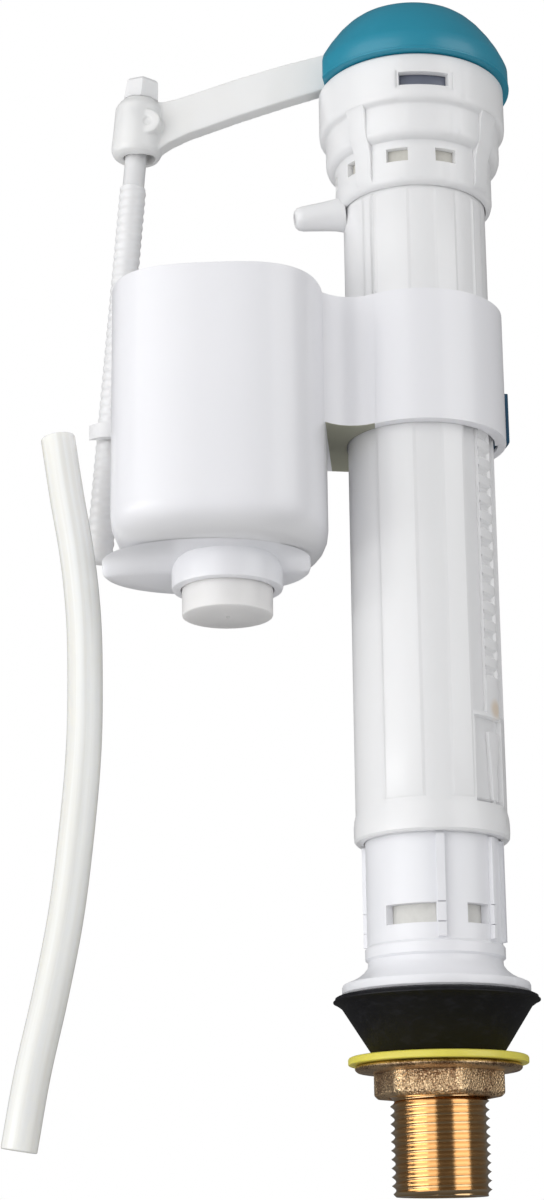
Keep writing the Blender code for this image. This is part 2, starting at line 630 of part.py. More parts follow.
# Supply tube: carries mains water up from the shank and ends in the valve seat.
supply = put("supply_tube", turned((
    (SUPPLY_RADIUS - SUPPLY_WALL, SUPPLY_BOTTOM),
    (SHANK_HEAD_RADIUS, SUPPLY_BOTTOM),
    (SHANK_HEAD_RADIUS, SUPPLY_BOTTOM + SUPPLY_FOOT_THICKNESS),
    (SUPPLY_RADIUS, SUPPLY_BOTTOM + SUPPLY_FOOT_THICKNESS),
    (SUPPLY_RADIUS, SEAT_FLANGE_BOTTOM),
    (BELT_BORE - SEAT_GAP, SEAT_FLANGE_BOTTOM),
    (BELT_BORE - SEAT_GAP, SEAT_FLANGE_TOP),
    (SUPPLY_RADIUS + 0.8 * MM, SEAT_FLANGE_TOP),
    (SUPPLY_RADIUS, SEAT_RIM_TOP),
    (SUPPLY_RADIUS - SUPPLY_WALL, SEAT_RIM_TOP),
), 24), milky)


def outlet_holes(bottom, top):
    bm = bmesh.new()
    rings = []
    for k in range(OUTLET_COUNT):
        centre = from_azimuth(360 * (k + 0.5) / OUTLET_COUNT, OUTLET_CIRCLE)
        rings = [[centre + from_azimuth(30 * i, OUTLET_RADIUS, z) for i in range(12)]
                 for z in (bottom, top)]
        skin_rings(bm, rings, False)
    return bm


shape_with(supply, "DIFFERENCE", "seat_outlet_shapes",
           outlet_holes(SEAT_FLANGE_BOTTOM - 1 * MM, SEAT_FLANGE_TOP + 1 * MM))

# Head: skirt over the riser's top, belt round the seat, and crown under the cap.
head = put("head_body", turned((
    (SKIRT_BORE, SKIRT_BOTTOM),
    (SKIRT_RADIUS, SKIRT_BOTTOM),
    (SKIRT_RADIUS, SKIRT_TOP),
    (BELT_RADIUS - 0.6 * MM, SKIRT_TOP),
    (BELT_RADIUS, SKIRT_TOP + 1.6 * MM),
    (BELT_RADIUS, BELT_TOP),
    (CROWN_RADIUS - 0.2 * MM, BELT_TOP),
    (CROWN_RADIUS, BELT_TOP + 0.6 * MM),
    (CROWN_RADIUS, CROWN_TOP - 0.4 * MM),
    (CROWN_RADIUS - 0.4 * MM, CROWN_TOP),
    (CROWN_BORE, CROWN_TOP),
    (CROWN_BORE, BELT_TOP),
    (BELT_BORE, BELT_TOP),
    (BELT_BORE, DECK_TOP),
    (SUPPLY_RADIUS + SEAT_GAP, DECK_TOP),
    (SUPPLY_RADIUS + SEAT_GAP, DECK_BOTTOM),
    (SKIRT_BORE, DECK_BOTTOM),
), ROUND_STEPS), warm_white)
nozzle_out = from_azimuth(NOZZLE_AZIMUTH, math.cos(math.radians(NOZZLE_DROOP)),
                          -math.sin(math.radians(NOZZLE_DROOP)))
nozzle_root = from_azimuth(NOZZLE_AZIMUTH, SKIRT_BORE + 0.4 * MM, NOZZLE_HEIGHT)
nozzle_length = (NOZZLE_REACH - SKIRT_BORE) / math.cos(math.radians(NOZZLE_DROOP))
nozzle_place = Matrix.Translation(nozzle_root) @ nozzle_out.to_track_quat("Z", "Y").to_matrix(
).to_4x4()
shape_with(head, "UNION", "nozzle_shape", turned((
    (NOZZLE_ROOT_RADIUS, 0),
    (NOZZLE_ROOT_RADIUS - 0.3 * MM, 0.3 * nozzle_length),
    (NOZZLE_TIP_RADIUS + 0.2 * MM, 0.75 * nozzle_length),
    (NOZZLE_TIP_RADIUS, nozzle_length - 1.0 * MM),
    (NOZZLE_TIP_RADIUS - 0.7 * MM, nozzle_length),
), 20, False, nozzle_place))
shape_with(head, "DIFFERENCE", "nozzle_bore_shape",
           rod_between(nozzle_root - 3 * MM * nozzle_out,
                       nozzle_root + (nozzle_length + 1 * MM) * nozzle_out, NOZZLE_BORE, 12))
shape_with(head, "DIFFERENCE", "skirt_bore_shape",
           turned(((SKIRT_BORE, SKIRT_BOTTOM - 8 * MM), (SKIRT_BORE, DECK_BOTTOM)), ROUND_STEPS, False))
slots = bmesh.new()
for k in range(round(360 / SKIRT_WINDOW_PITCH)):
    middle = SKIRT_WINDOW_PHASE + SKIRT_WINDOW_PITCH * k
    sector((SKIRT_BORE - 1 * MM, SKIRT_RADIUS + 1 * MM),
           (middle - SKIRT_WINDOW_SPAN / 2, middle + SKIRT_WINDOW_SPAN / 2),
           (SKIRT_WINDOW_BOTTOM, SKIRT_WINDOW_BOTTOM + SKIRT_WINDOW_HEIGHT), 2, slots)
for turn in (0, 180):
    middle = CROWN_WINDOW_AZIMUTH + turn
    sector((CROWN_BORE - 1 * MM, CROWN_RADIUS + 1 * MM),
           (middle - CROWN_WINDOW_SPAN / 2, middle + CROWN_WINDOW_SPAN / 2),
           (CROWN_WINDOW_BOTTOM, CROWN_WINDOW_BOTTOM + CROWN_WINDOW_HEIGHT), 4, slots)
shape_with(head, "DIFFERENCE", "head_window_shapes", slots)
head_ribs = bmesh.new()
for turn in (0, 180):
    for first, last in HEAD_RIBS:
        sector((SKIRT_BORE + 0.4 * MM, SKIRT_RADIUS + HEAD_RIB_PROUD), (first + turn, last + turn),
               (SKIRT_BOTTOM, SKIRT_TOP + 0.5 * MM), 1, head_ribs)
shape_with(head, "UNION", "skirt_rib_shapes", head_ribs)
head_ribs = bmesh.new()
for turn in (0, 180):
    for first, last in HEAD_RIBS:
        sector((BELT_RADIUS - 0.35 * MM, BELT_RADIUS + HEAD_RIB_PROUD),
               (first + turn, last + turn), (SKIRT_TOP + 0.6 * MM, BELT_TOP + 0.3 * MM), 1,
               head_ribs)
shape_with(head, "UNION", "belt_rib_shapes", head_ribs)
shape_with(head, "DIFFERENCE", "deck_outlet_shapes",
           outlet_holes(DECK_BOTTOM - 0.1 * MM, DECK_TOP + 1 * MM))

# Diaphragm: a rubber disc that closes on the seat when the pilot is shut.
put("diaphragm", turned((
    (DIAPHRAGM_HOLE, DIAPHRAGM_BOTTOM),
    (INSERT_RADIUS, DIAPHRAGM_BOTTOM),
    (INSERT_RADIUS, DIAPHRAGM_TOP),
    (INSERT_RADIUS - 2.0 * MM, DIAPHRAGM_TOP),
    (INSERT_RADIUS - 3.0 * MM, DIAPHRAGM_TOP - 0.5 * MM),
    (SUPPLY_RADIUS + 2.0 * MM, DIAPHRAGM_TOP - 0.5 * MM),
    (SUPPLY_RADIUS + 1.0 * MM, DIAPHRAGM_TOP),
    (DIAPHRAGM_HOLE, DIAPHRAGM_TOP),
), 32), grey_rubber)

# Pilot plate: clamps the diaphragm, holds the pilot's mouth and the lever's cheeks.
pilot_plate = put("pilot_plate", turned((
    (PILOT_BORE, PLATE_BOTTOM),
    (INSERT_RADIUS, PLATE_BOTTOM),
    (INSERT_RADIUS, PLATE_RIM_TOP),
    (INSERT_RADIUS - PLATE_RIM_WALL, PLATE_RIM_TOP),
    (INSERT_RADIUS - PLATE_RIM_WALL, PLATE_TOP),
    (PILOT_RADIUS + 1.0 * MM, PLATE_TOP),
    (PILOT_RADIUS - 0.6 * MM, PILOT_TOP),
    (PILOT_BORE, PILOT_TOP),
), 24), warm_white)
cheek_gap = LEVER_THICKNESS / 2 + ARM_PLAY
cheeks = bmesh.new()
for side in (-1, 1):
    outline = [(PIVOT_REACH - CHEEK_WIDTH / 2, PLATE_TOP - 0.5 * PLATE_THICKNESS),
               (PIVOT_REACH + CHEEK_WIDTH / 2, PLATE_TOP - 0.5 * PLATE_THICKNESS)]
    outline += [(PIVOT_REACH + 0.45 * CHEEK_WIDTH * math.cos(math.radians(20 * i)),
                 PIVOT_HEIGHT + 0.45 * CHEEK_WIDTH * math.sin(math.radians(20 * i)))
                for i in range(10)]
    faces = [[LEVER_TURN @ Vector((x, side * aside, z)) for x, z in outline]
             for aside in (cheek_gap, cheek_gap + CHEEK_THICKNESS)]
    skin_rings(cheeks, faces, False)
shape_with(pilot_plate, "UNION", "cheek_shapes", cheeks)
pin_reach = cheek_gap + CHEEK_THICKNESS
shape_with(pilot_plate, "DIFFERENCE", "cheek_hole_shape", rod_between(
    in_lever_plane(PIVOT_REACH, PIVOT_HEIGHT, -pin_reach - 1 * MM),
    in_lever_plane(PIVOT_REACH, PIVOT_HEIGHT, pin_reach + 1 * MM),
    PIVOT_PIN_RADIUS + SEAT_GAP, 16))
put("lever_pin", rod_between(
    in_lever_plane(PIVOT_REACH, PIVOT_HEIGHT, -pin_reach),
    in_lever_plane(PIVOT_REACH, PIVOT_HEIGHT, pin_reach), PIVOT_PIN_RADIUS, 16), turned_brass)

# Cap: a domed teal lid whose spigot holds the pilot plate down.
spigot_bottom = PLATE_RIM_TOP + SEAT_GAP
cap_shoulder = CAP_BOTTOM + CAP_RIM_HEIGHT
cap = put("head_cap", turned((
    (INSERT_RADIUS, spigot_bottom),
    (INSERT_RADIUS, CAP_BOTTOM),
    (CAP_RIM_RADIUS - 0.4 * MM, CAP_BOTTOM),
    (CAP_RIM_RADIUS, CAP_BOTTOM + 0.5 * MM),
    (CAP_RIM_RADIUS, cap_shoulder - 0.8 * MM),
    (CAP_RIM_RADIUS - 0.8 * MM, cap_shoulder),
    ((CAP_RIM_RADIUS + CAP_TOP_RADIUS) / 2 + 0.8 * CAP_BULGE,
     (cap_shoulder + CAP_TOP - CAP_DOME) / 2 + 0.6 * CAP_BULGE),
    (CAP_TOP_RADIUS + 1.0 * MM, CAP_TOP - CAP_DOME - 1.0 * MM),
    (CAP_TOP_RADIUS, CAP_TOP - CAP_DOME),
    (0.5 * CAP_TOP_RADIUS, CAP_TOP - 0.25 * CAP_DOME),
    (0.2 * MM, CAP_TOP),
), ROUND_STEPS, False), teal)
shape_with(cap, "DIFFERENCE", "cap_hollow_shape", turned((
    (INSERT_RADIUS - CAP_SPIGOT_WALL, spigot_bottom - 1 * MM),
    (INSERT_RADIUS - CAP_SPIGOT_WALL, CAP_BOTTOM),
    (CAP_RIM_RADIUS - 2 * CAP_WALL, cap_shoulder - 0.4 * CAP_WALL),
    (CAP_TOP_RADIUS - 0.2 * CAP_WALL, CAP_TOP - CAP_DOME - 1.4 * CAP_WALL),
), ROUND_STEPS, False))
shape_with(cap, "DIFFERENCE", "cap_flat_shape",
           box((CAP_FLAT, -CAP_FLAT_WIDTH / 2, spigot_bottom - 1 * MM),
               (CAP_RIM_RADIUS + 1 * MM, CAP_FLAT_WIDTH / 2, CAP_TOP), LEVER_TURN))
shape_with(cap, "DIFFERENCE", "cap_slot_shape",
           box((INSERT_RADIUS - 5.5 * MM, -LEVER_THICKNESS / 2 - ARM_PLAY, spigot_bottom - 1 * MM),
               (CAP_RIM_RADIUS + 1 * MM, LEVER_THICKNESS / 2 + ARM_PLAY, CAP_TOP + 2 * MM),
               LEVER_TURN))

# Lever: a flat bar with a nose over the pilot, a boss on the pin and an eye for the rod.
pivot = bpy.data.objects.new("lever_pivot", None)
bpy.context.collection.objects.link(pivot)
pivot.matrix_world = Matrix.Translation(in_lever_plane(PIVOT_REACH, PIVOT_HEIGHT)) @ LEVER_TURN
bpy.context.view_layer.update()
bar_start = CAP_FLAT
bar_end = EYE_REACH - 0.5 * EYE_RADIUS
nose_top = PIVOT_HEIGHT + 0.2 * PIVOT_BOSS_RADIUS
outline = [(-PAD_RADIUS - 0.6 * MM, PAD_TOP), (PAD_RADIUS + 0.6 * MM, PAD_TOP)]
outline += [(PIVOT_REACH + PIVOT_BOSS_RADIUS * math.cos(math.radians(a)),
             PIVOT_HEIGHT + PIVOT_BOSS_RADIUS * math.sin(math.radians(a))) for a in (225, 270, 300)]
outline += [(bar_start, LEVER_ROOT_TOP - LEVER_DEPTH),
            (bar_start + 0.5 * (bar_end - bar_start),
             0.5 * (LEVER_ROOT_TOP + LEVER_TIP_TOP) - LEVER_DEPTH + 0.2 * MM),
            (bar_end - 5 * MM, LEVER_TIP_TOP - LEVER_DEPTH - 0.6 * MM),
            (bar_end, EYE_HEIGHT - 0.8 * EYE_SKIRT),
            (bar_end, LEVER_TIP_TOP + 0.3 * MM),
            (bar_end - 6 * MM, LEVER_TIP_TOP + 0.6 * MM),
            (bar_start + 0.5 * (bar_end - bar_start),
             0.5 * (LEVER_ROOT_TOP + LEVER_TIP_TOP) + 0.3 * MM),
            (bar_start, LEVER_ROOT_TOP)]
outline += [(PIVOT_REACH + PIVOT_BOSS_RADIUS * math.cos(math.radians(a)),
             PIVOT_HEIGHT + PIVOT_BOSS_RADIUS * math.sin(math.radians(a))) for a in (80, 110, 145)]
outline += [(-PAD_RADIUS - 0.6 * MM, nose_top)]
bar = bmesh.new()
skin_rings(bar, [[LEVER_TURN @ Vector((x, y, z)) for x, z in outline]
                 for y in (-LEVER_THICKNESS / 2, LEVER_THICKNESS / 2)], False)
lever = put("lever_arm", bar, warm_white, pivot.matrix_world, pivot)
eye_place = Matrix.Translation(in_lever_plane(EYE_REACH, EYE_HEIGHT)) @ LEVER_TURN @ (
    Matrix.Rotation(math.radians(-ROD_LEAN), 4, "Y"))
dome = [(EYE_RADIUS * math.sin(math.radians(a)), EYE_RADIUS * math.cos(math.radians(a)))
        for a in range(90, 30, -10)]
shape_with(lever, "UNION", "eye_shape", turned([
    (EYE_RADIUS - 1.2 * MM, -EYE_SKIRT),
    (EYE_RADIUS - 0.2 * MM, -EYE_SKIRT + 1.4 * MM),
    (EYE_RADIUS, -0.4 * EYE_SKIRT)] + dome, 28, False, eye_place))
boss_reach = EYE_RADIUS + EYE_BOSS_PROUD
shape_with(lever, "UNION", "eye_boss_shape", rod_between(
    in_lever_plane(EYE_REACH, EYE_HEIGHT, -boss_reach),
    in_lever_plane(EYE_REACH, EYE_HEIGHT, boss_reach), EYE_BOSS_RADIUS, 20))
shape_with(lever, "DIFFERENCE", "eye_bore_shape", turned((
    (EYE_MOUTH, -EYE_SKIRT - 1 * MM),
    (EYE_MOUTH, -EYE_SKIRT + 0.5 * MM),
    (EYE_BORE, -0.4 * EYE_SKIRT),
    (EYE_BORE, 0.3 * EYE_RADIUS),
    (0.92 * EYE_BORE, EYE_RADIUS + 1 * MM),
), 24, False, eye_place))
shape_with(lever, "DIFFERENCE", "trunnion_hole_shape", rod_between(
    in_lever_plane(EYE_REACH, EYE_HEIGHT, -EYE_RADIUS - 1 * MM),
    in_lever_plane(EYE_REACH, EYE_HEIGHT, EYE_RADIUS + 1 * MM), TRUNNION_RADIUS + SEAT_GAP, 12))
shape_with(lever, "DIFFERENCE", "pivot_hole_shape", rod_between(
    in_lever_plane(PIVOT_REACH, PIVOT_HEIGHT, -LEVER_THICKNESS),
    in_lever_plane(PIVOT_REACH, PIVOT_HEIGHT, LEVER_THICKNESS), PIVOT_PIN_RADIUS + SEAT_GAP, 16))
put("pilot_pad", turned((
    (PAD_RADIUS, PAD_BOTTOM),
    (PAD_RADIUS, PAD_TOP - SEAT_GAP),
), 16, False), grey_rubber, pivot.matrix_world, pivot)

# Swivel: a bush on two trunnions in the eye, which lets the rod hang at its own angle.
eye = bpy.data.objects.new("eye_pivot", None)
bpy.context.collection.objects.link(eye)
eye.matrix_world = eye_place
bpy.context.view_layer.update()
bush_bore = ROD_NECK_RADIUS + SEAT_GAP
swivel = put("rod_swivel", turned((
    (bush_bore, -SWIVEL_HEIGHT / 2),
    (bush_bore + SWIVEL_WALL, -SWIVEL_HEIGHT / 2),
    (bush_bore + SWIVEL_WALL, SWIVEL_HEIGHT / 2),
    (bush_bore, SWIVEL_HEIGHT / 2),
), 20, True, eye_place), warm_white, eye_place, eye)
stubs = bmesh.new()
for side in (-1, 1):
    rings = [[eye_place @ Vector((TRUNNION_RADIUS * math.cos(math.radians(30 * i)), side * reach,
                                  TRUNNION_RADIUS * math.sin(math.radians(30 * i))))
              for i in range(12)] for reach in (bush_bore + 0.4 * SWIVEL_WALL, EYE_RADIUS - 0.7 * MM)]
    skin_rings(stubs, rings, False)
shape_with(swivel, "UNION", "trunnion_shapes", stubs)

# Adjusting rod: hangs through the swivel and is turned by its six-sided knob.
rod = put("adjusting_rod", turned((
    (ROD_RADIUS - 1.0 * MM, -ROD_FOOT),
    (ROD_RADIUS, -ROD_FOOT + 0.8 * MM),
    (ROD_RADIUS, -ROD_NECK_DROP - 0.5 * MM),
    (ROD_NECK_RADIUS, -ROD_NECK_DROP),
    (ROD_NECK_RADIUS, KNOB_BOTTOM + 0.5 * KNOB_HEIGHT),
), 20, False, eye_place), warm_white, eye_place, eye)
knob = bmesh.new()
skin_rings(knob, [
    [eye_place @ from_azimuth(60 * i + 12, across / 2 / math.cos(math.radians(30)), height)
     for i in range(6)]
    for across, height in ((KNOB_ACROSS, KNOB_BOTTOM),
                           (KNOB_TOP_ACROSS + 0.6 * MM, KNOB_BOTTOM + KNOB_HEIGHT - 0.8 * MM),
                           (KNOB_TOP_ACROSS - 0.6 * MM, KNOB_BOTTOM + KNOB_HEIGHT))], False)
shape_with(rod, "UNION", "knob_shape", knob)

# Float chamber: an open cup joined by a bridge to the collar that slides on the riser.
chamber_outline = rounded_square(CHAMBER_HALF_X, CHAMBER_HALF_Y, CHAMBER_SQUARENESS, 48,
                                 (CHAMBER_X, CHAMBER_Y))
small_outline = rounded_square(CHAMBER_HALF_X - CHAMBER_EDGE, CHAMBER_HALF_Y - CHAMBER_EDGE,
                               CHAMBER_SQUARENESS, 48, (CHAMBER_X, CHAMBER_Y))
mid_outline = rounded_square(CHAMBER_HALF_X - 0.3 * CHAMBER_EDGE,
                             CHAMBER_HALF_Y - 0.3 * CHAMBER_EDGE,
                             CHAMBER_SQUARENESS, 48, (CHAMBER_X, CHAMBER_Y))
cup = bmesh.new()
skin_rings(cup, [[Vector((x, y, z)) for x, y in points] for points, z in (
    (small_outline, CHAMBER_BOTTOM),
    (mid_outline, CHAMBER_BOTTOM + 0.3 * CHAMBER_EDGE),
    (chamber_outline, CHAMBER_BOTTOM + CHAMBER_EDGE),
    (chamber_outline, CHAMBER_TOP))], False)
chamber = put("float_chamber", cup, cool_white)
shape_with(chamber, "UNION", "collar_shape",
           turned(((COLLAR_RADIUS, COLLAR_BOTTOM), (COLLAR_RADIUS, CHAMBER_TOP)), ROUND_STEPS, False))
front_fillet = 6.5 * MM
fillet_x = -COLLAR_RADIUS * 0.62
bridge_outline = [
    (CHAMBER_X + 0.7 * CHAMBER_HALF_X, BRIDGE_FRONT - 8.5 * MM),
    (CHAMBER_X + 0.93 * CHAMBER_HALF_X, BRIDGE_FRONT - 5.0 * MM),
    (-COLLAR_RADIUS * 0.97, BRIDGE_FRONT - 0.3 * MM),
    (-COLLAR_RADIUS * 0.83, BRIDGE_FRONT + 2.9 * MM),
    (fillet_x, -math.sqrt(COLLAR_RADIUS ** 2 - fillet_x ** 2) + 0.3 * MM),
    (0, 0),
    (-0.5 * COLLAR_RADIUS, BRIDGE_BACK),
    (CHAMBER_X + 0.35 * CHAMBER_HALF_X, BRIDGE_BACK - 3.6 * MM),
    (CHAMBER_X + 0.1 * CHAMBER_HALF_X, 0)]
shape_with(chamber, "UNION", "bridge_shape",
           plate(bridge_outline, COLLAR_BOTTOM, CHAMBER_TOP))
cavity = rounded_square(CHAMBER_HALF_X - CHAMBER_WALL, CHAMBER_HALF_Y - CHAMBER_WALL,
                        CHAMBER_SQUARENESS, 48, (CHAMBER_X, CHAMBER_Y))
shape_with(chamber, "DIFFERENCE", "cavity_shape",
           plate(cavity, CHAMBER_CAVITY_FLOOR, CHAMBER_TOP + 1 * MM))
shape_with(chamber, "DIFFERENCE", "collar_bore_shape",
           turned(((COLLAR_BORE, CHAMBER_BOTTOM), (COLLAR_BORE, CHAMBER_TOP + 1 * MM)), ROUND_STEPS, False))
drain_place = Matrix.Translation((DRAIN_X, DRAIN_Y, 0))
shape_with(chamber, "DIFFERENCE", "drain_hole_shape",
           turned(((CUP_HOLE_RADIUS, CHAMBER_BOTTOM - 1 * MM),
                   (CUP_HOLE_RADIUS, CHAMBER_CAVITY_FLOOR + 1 * MM)), 28, False, drain_place))
clip_half = CLIP_SPAN / 2
clip_slack = math.degrees(SLIDE_GAP / COLLAR_RADIUS)
clip_top = CLIP_BOTTOM + CLIP_HEIGHT
shape_with(chamber, "DIFFERENCE", "clip_window_shape",
           sector((COLLAR_BORE - 1 * MM, COLLAR_RADIUS + 1 * MM),
                  (CLIP_AZIMUTH - clip_half - clip_slack, CLIP_AZIMUTH + clip_half + clip_slack),
                  (CLIP_BOTTOM - SLIDE_GAP, clip_top + SLIDE_GAP), 3))
lip_half = CLIP_LIP_SPAN / 2
lip_radius = COLLAR_BORE + CLIP_LIP
shape_with(chamber, "DIFFERENCE", "clip_pocket_shape",
           sector((COLLAR_BORE - 1 * MM, lip_radius + SEAT_GAP),
                  (CLIP_AZIMUTH - lip_half - clip_slack, CLIP_AZIMUTH + lip_half + clip_slack),
                  (COLLAR_BOTTOM - 1 * MM, clip_top + CLIP_LIP_REACH + SLIDE_GAP), 4))

# Lock clip: a teal button in the collar; pressed in, it frees the chamber to slide.
clip_in = -from_azimuth(CLIP_AZIMUTH)
clip_home = bpy.data.objects.new("clip_travel", None)
bpy.context.collection.objects.link(clip_home)
clip_home.matrix_world = Matrix.Translation(from_azimuth(
    CLIP_AZIMUTH, COLLAR_RADIUS, CLIP_BOTTOM + CLIP_HEIGHT / 2))
bpy.context.view_layer.update()
clip = put("lock_clip", sector((COLLAR_BORE, COLLAR_RADIUS + CLIP_PROUD),
                               (CLIP_AZIMUTH - clip_half, CLIP_AZIMUTH + clip_half),
                               (CLIP_BOTTOM, clip_top), 4), teal, clip_home.matrix_world, clip_home)
shape_with(clip, "UNION", "clip_lip_shape",
           sector((COLLAR_BORE - 0.05 * MM, lip_radius),
                  (CLIP_AZIMUTH - lip_half, CLIP_AZIMUTH + lip_half),
                  (CLIP_BOTTOM - 0.5 * CLIP_LIP_REACH, clip_top + CLIP_LIP_REACH), 6))
groove_pitch = CLIP_HEIGHT / (CLIP_GROOVES + 1)
grooves = bmesh.new()
for k in range(1, CLIP_GROOVES + 1):
    middle = CLIP_BOTTOM + k * groove_pitch
    sector((COLLAR_RADIUS + CLIP_PROUD - CLIP_GROOVE_DEPTH, COLLAR_RADIUS + CLIP_PROUD + 1 * MM),
           (CLIP_AZIMUTH - 0.8 * clip_half, CLIP_AZIMUTH + 0.8 * clip_half),
           (middle - CLIP_GROOVE_WIDTH / 2, middle + CLIP_GROOVE_WIDTH / 2), 3, grooves)
shape_with(clip, "DIFFERENCE", "grip_groove_shapes", grooves)

# Drain plate: an oval plate under the chamber with a ring round the drain cup. Its front slopes
# back from the chamber's floor.
drain_top = CHAMBER_BOTTOM - SEAT_GAP
drain_steps = 32


def drain_outline(inset, front, height):
    points = []
    for i in range(drain_steps):
        angle = 2 * math.pi * i / drain_steps
        depth = front if math.sin(angle) < 0 else DRAIN_PLATE_HALF_Y
        points.append(Vector((
            DRAIN_PLATE_X + (DRAIN_PLATE_HALF_X - inset) * math.cos(angle),
            DRAIN_Y + (depth - inset) * math.sin(angle), height)))
    return points


drain_edge = 0.8 * MM
drain_bottom = drain_top - DRAIN_PLATE_THICKNESS
drain_front_low = DRAIN_PLATE_FRONT - DRAIN_PLATE_SLOPE
drain_body = bmesh.new()
skin_rings(drain_body, [
    drain_outline(drain_edge, drain_front_low, drain_bottom),
    drain_outline(0, drain_front_low + drain_edge, drain_bottom + drain_edge),
    drain_outline(0, DRAIN_PLATE_FRONT, drain_top)], False)
drain = put("drain_plate", drain_body, cool_white)
shape_with(drain, "UNION", "drain_ring_shape", turned((
    (DRAIN_RING_RADIUS - 0.5 * MM, drain_top - DRAIN_RING_DROP),
    (DRAIN_RING_RADIUS, drain_top - DRAIN_RING_DROP + 0.5 * MM),
    (DRAIN_RING_RADIUS, drain_top),
), 24, False, drain_place))
shape_with(drain, "DIFFERENCE", "drain_bore_shape",
           turned(((CUP_HOLE_RADIUS, drain_top - DRAIN_RING_DROP - 1 * MM),
                   (CUP_HOLE_RADIUS, drain_top + 1 * MM)), 28, False, drain_place))

# Drain cup: hangs in the drain by its flange and floats up to shut it.
cup_bottom = CHAMBER_BOTTOM - CUP_DROP
put("drain_cup", turned((
    (CUP_HOLE, cup_bottom),
    (CUP_RADIUS - 0.6 * MM, cup_bottom),
    (CUP_RADIUS, cup_bottom + 0.6 * MM),
    (CUP_RADIUS, CUP_FLANGE_BOTTOM),
    (CUP_RADIUS + CUP_FLANGE, CUP_FLANGE_BOTTOM),
    (CUP_RADIUS + CUP_FLANGE, CUP_FLANGE_TOP),
    (CUP_RADIUS - CUP_WALL, CUP_FLANGE_TOP),
    (CUP_RADIUS - CUP_WALL, cup_bottom + CUP_WALL),
    (CUP_HOLE, cup_bottom + CUP_WALL),
), 28, True, drain_place), milky, drain_place @ Matrix.Translation((0, 0, CUP_FLANGE_BOTTOM)))

# Float: an upturned cup open below, with an arm that reaches through the chamber wall.
float_half_x = CHAMBER_HALF_X - CHAMBER_WALL - FLOAT_PLAY
float_half_y = CHAMBER_HALF_Y - CHAMBER_WALL - FLOAT_PLAY
float_outer = rounded_square(float_half_x, float_half_y, CHAMBER_SQUARENESS, 40,
                             (CHAMBER_X, CHAMBER_Y))
float_inner = rounded_square(float_half_x - FLOAT_WALL, float_half_y - FLOAT_WALL,
                             CHAMBER_SQUARENESS, 40, (CHAMBER_X, CHAMBER_Y))
float_home = bpy.data.objects.new("float_travel", None)
bpy.context.collection.objects.link(float_home)
float_home.matrix_world = Matrix.Translation((CHAMBER_X, CHAMBER_Y, FLOAT_TOP))
bpy.context.view_layer.update()
float_cup = bmesh.new()
skin_rings(float_cup, [[Vector((x, y, z)) for x, y in points] for points, z in (
    (float_inner, FLOAT_TOP - FLOAT_WALL),
    (float_inner, FLOAT_BOTTOM),
    (float_outer, FLOAT_BOTTOM),
    (float_outer, FLOAT_TOP))], False)
put("float", float_cup, warm_white, float_home.matrix_world, float_home)
arm_height = (ARM_BOTTOM + ARM_TOP) / 2
rod_drop = EYE_HEIGHT - arm_height
rod_point = in_lever_plane(EYE_REACH + rod_drop * math.tan(math.radians(ROD_LEAN)), arm_height)
hub = Vector((CHAMBER_X, CHAMBER_Y, 0))
toward_rod = Vector((rod_point.x - hub.x, rod_point.y - hub.y, 0))
arm_turn = Matrix.Translation(hub) @ Matrix.Rotation(
    math.atan2(toward_rod.y, toward_rod.x), 4, "Z")
arm = put("float_arm", turned(((FLOAT_HUB_RADIUS, ARM_BOTTOM), (FLOAT_HUB_RADIUS, ARM_TOP)), 28,
                              False, Matrix.Translation(hub)), warm_white,
          float_home.matrix_world, float_home)
shape_with(arm, "UNION", "arm_bar_shape",
           box((0, -FLOAT_ARM_WIDTH / 2, ARM_BOTTOM),
               (toward_rod.length, FLOAT_ARM_WIDTH / 2, ARM_TOP), arm_turn))
fork_bore = ROD_RADIUS + ARM_PLAY
rod_turn = Matrix.Translation((rod_point.x, rod_point.y, 0)) @ LEVER_TURN
fork_radius = fork_bore + FORK_WALL
shape_with(arm, "UNION", "fork_shape",
           turned(((fork_radius, ARM_BOTTOM), (fork_radius, ARM_TOP)), 24, False,
                  Matrix.Translation((rod_point.x, rod_point.y, 0))))
shape_with(arm, "DIFFERENCE", "fork_bore_shape",
           turned(((fork_bore, ARM_BOTTOM - 1 * MM), (fork_bore, ARM_TOP + 1 * MM)), 24, False,
                  Matrix.Translation((rod_point.x, rod_point.y, 0))))
shape_with(arm, "DIFFERENCE", "fork_mouth_shape",
           box((0, -fork_bore, ARM_BOTTOM - 1 * MM),
               (2 * fork_radius, fork_bore, ARM_TOP + 1 * MM), rod_turn))
shape_with(chamber, "DIFFERENCE", "arm_slot_shape",
           box((0.5 * CHAMBER_HALF_X, -FLOAT_ARM_WIDTH / 2 - FLOAT_PLAY,
                ARM_BOTTOM - 3 * MM),
               (CHAMBER_HALF_X + CHAMBER_HALF_Y, FLOAT_ARM_WIDTH / 2 + FLOAT_PLAY,
                CHAMBER_TOP + 1 * MM), arm_turn))

# Loose refill hose: lies beside the valve, cut square at both ends.


def smooth_route(points, count):
    """Points at even steps along a smooth curve through the route's own points."""
    knots = [Vector(p) for p in points]
    knots = [2 * knots[0] - knots[1]] + knots + [2 * knots[-1] - knots[-2]]
    fine = []
    for a, b, c, d in zip(knots, knots[1:], knots[2:], knots[3:]):
        for i in range(20):
            t = i / 20
            fine.append(0.5 * (2 * b + (c - a) * t + (2 * a - 5 * b + 4 * c - d) * t ** 2
                               + (3 * b - 3 * c + d - a) * t ** 3))
    fine.append(knots[-2])
    along = [0.0]
    for a, b in zip(fine, fine[1:]):
        along.append(along[-1] + (b - a).length)
    route, i = [], 0
    for k in range(count):
        want = along[-1] * k / (count - 1)
        while i < len(along) - 2 and along[i + 1] < want:
            i += 1
        share = (want - along[i]) / (along[i + 1] - along[i])
        route.append(fine[i].lerp(fine[i + 1], share))
    return route


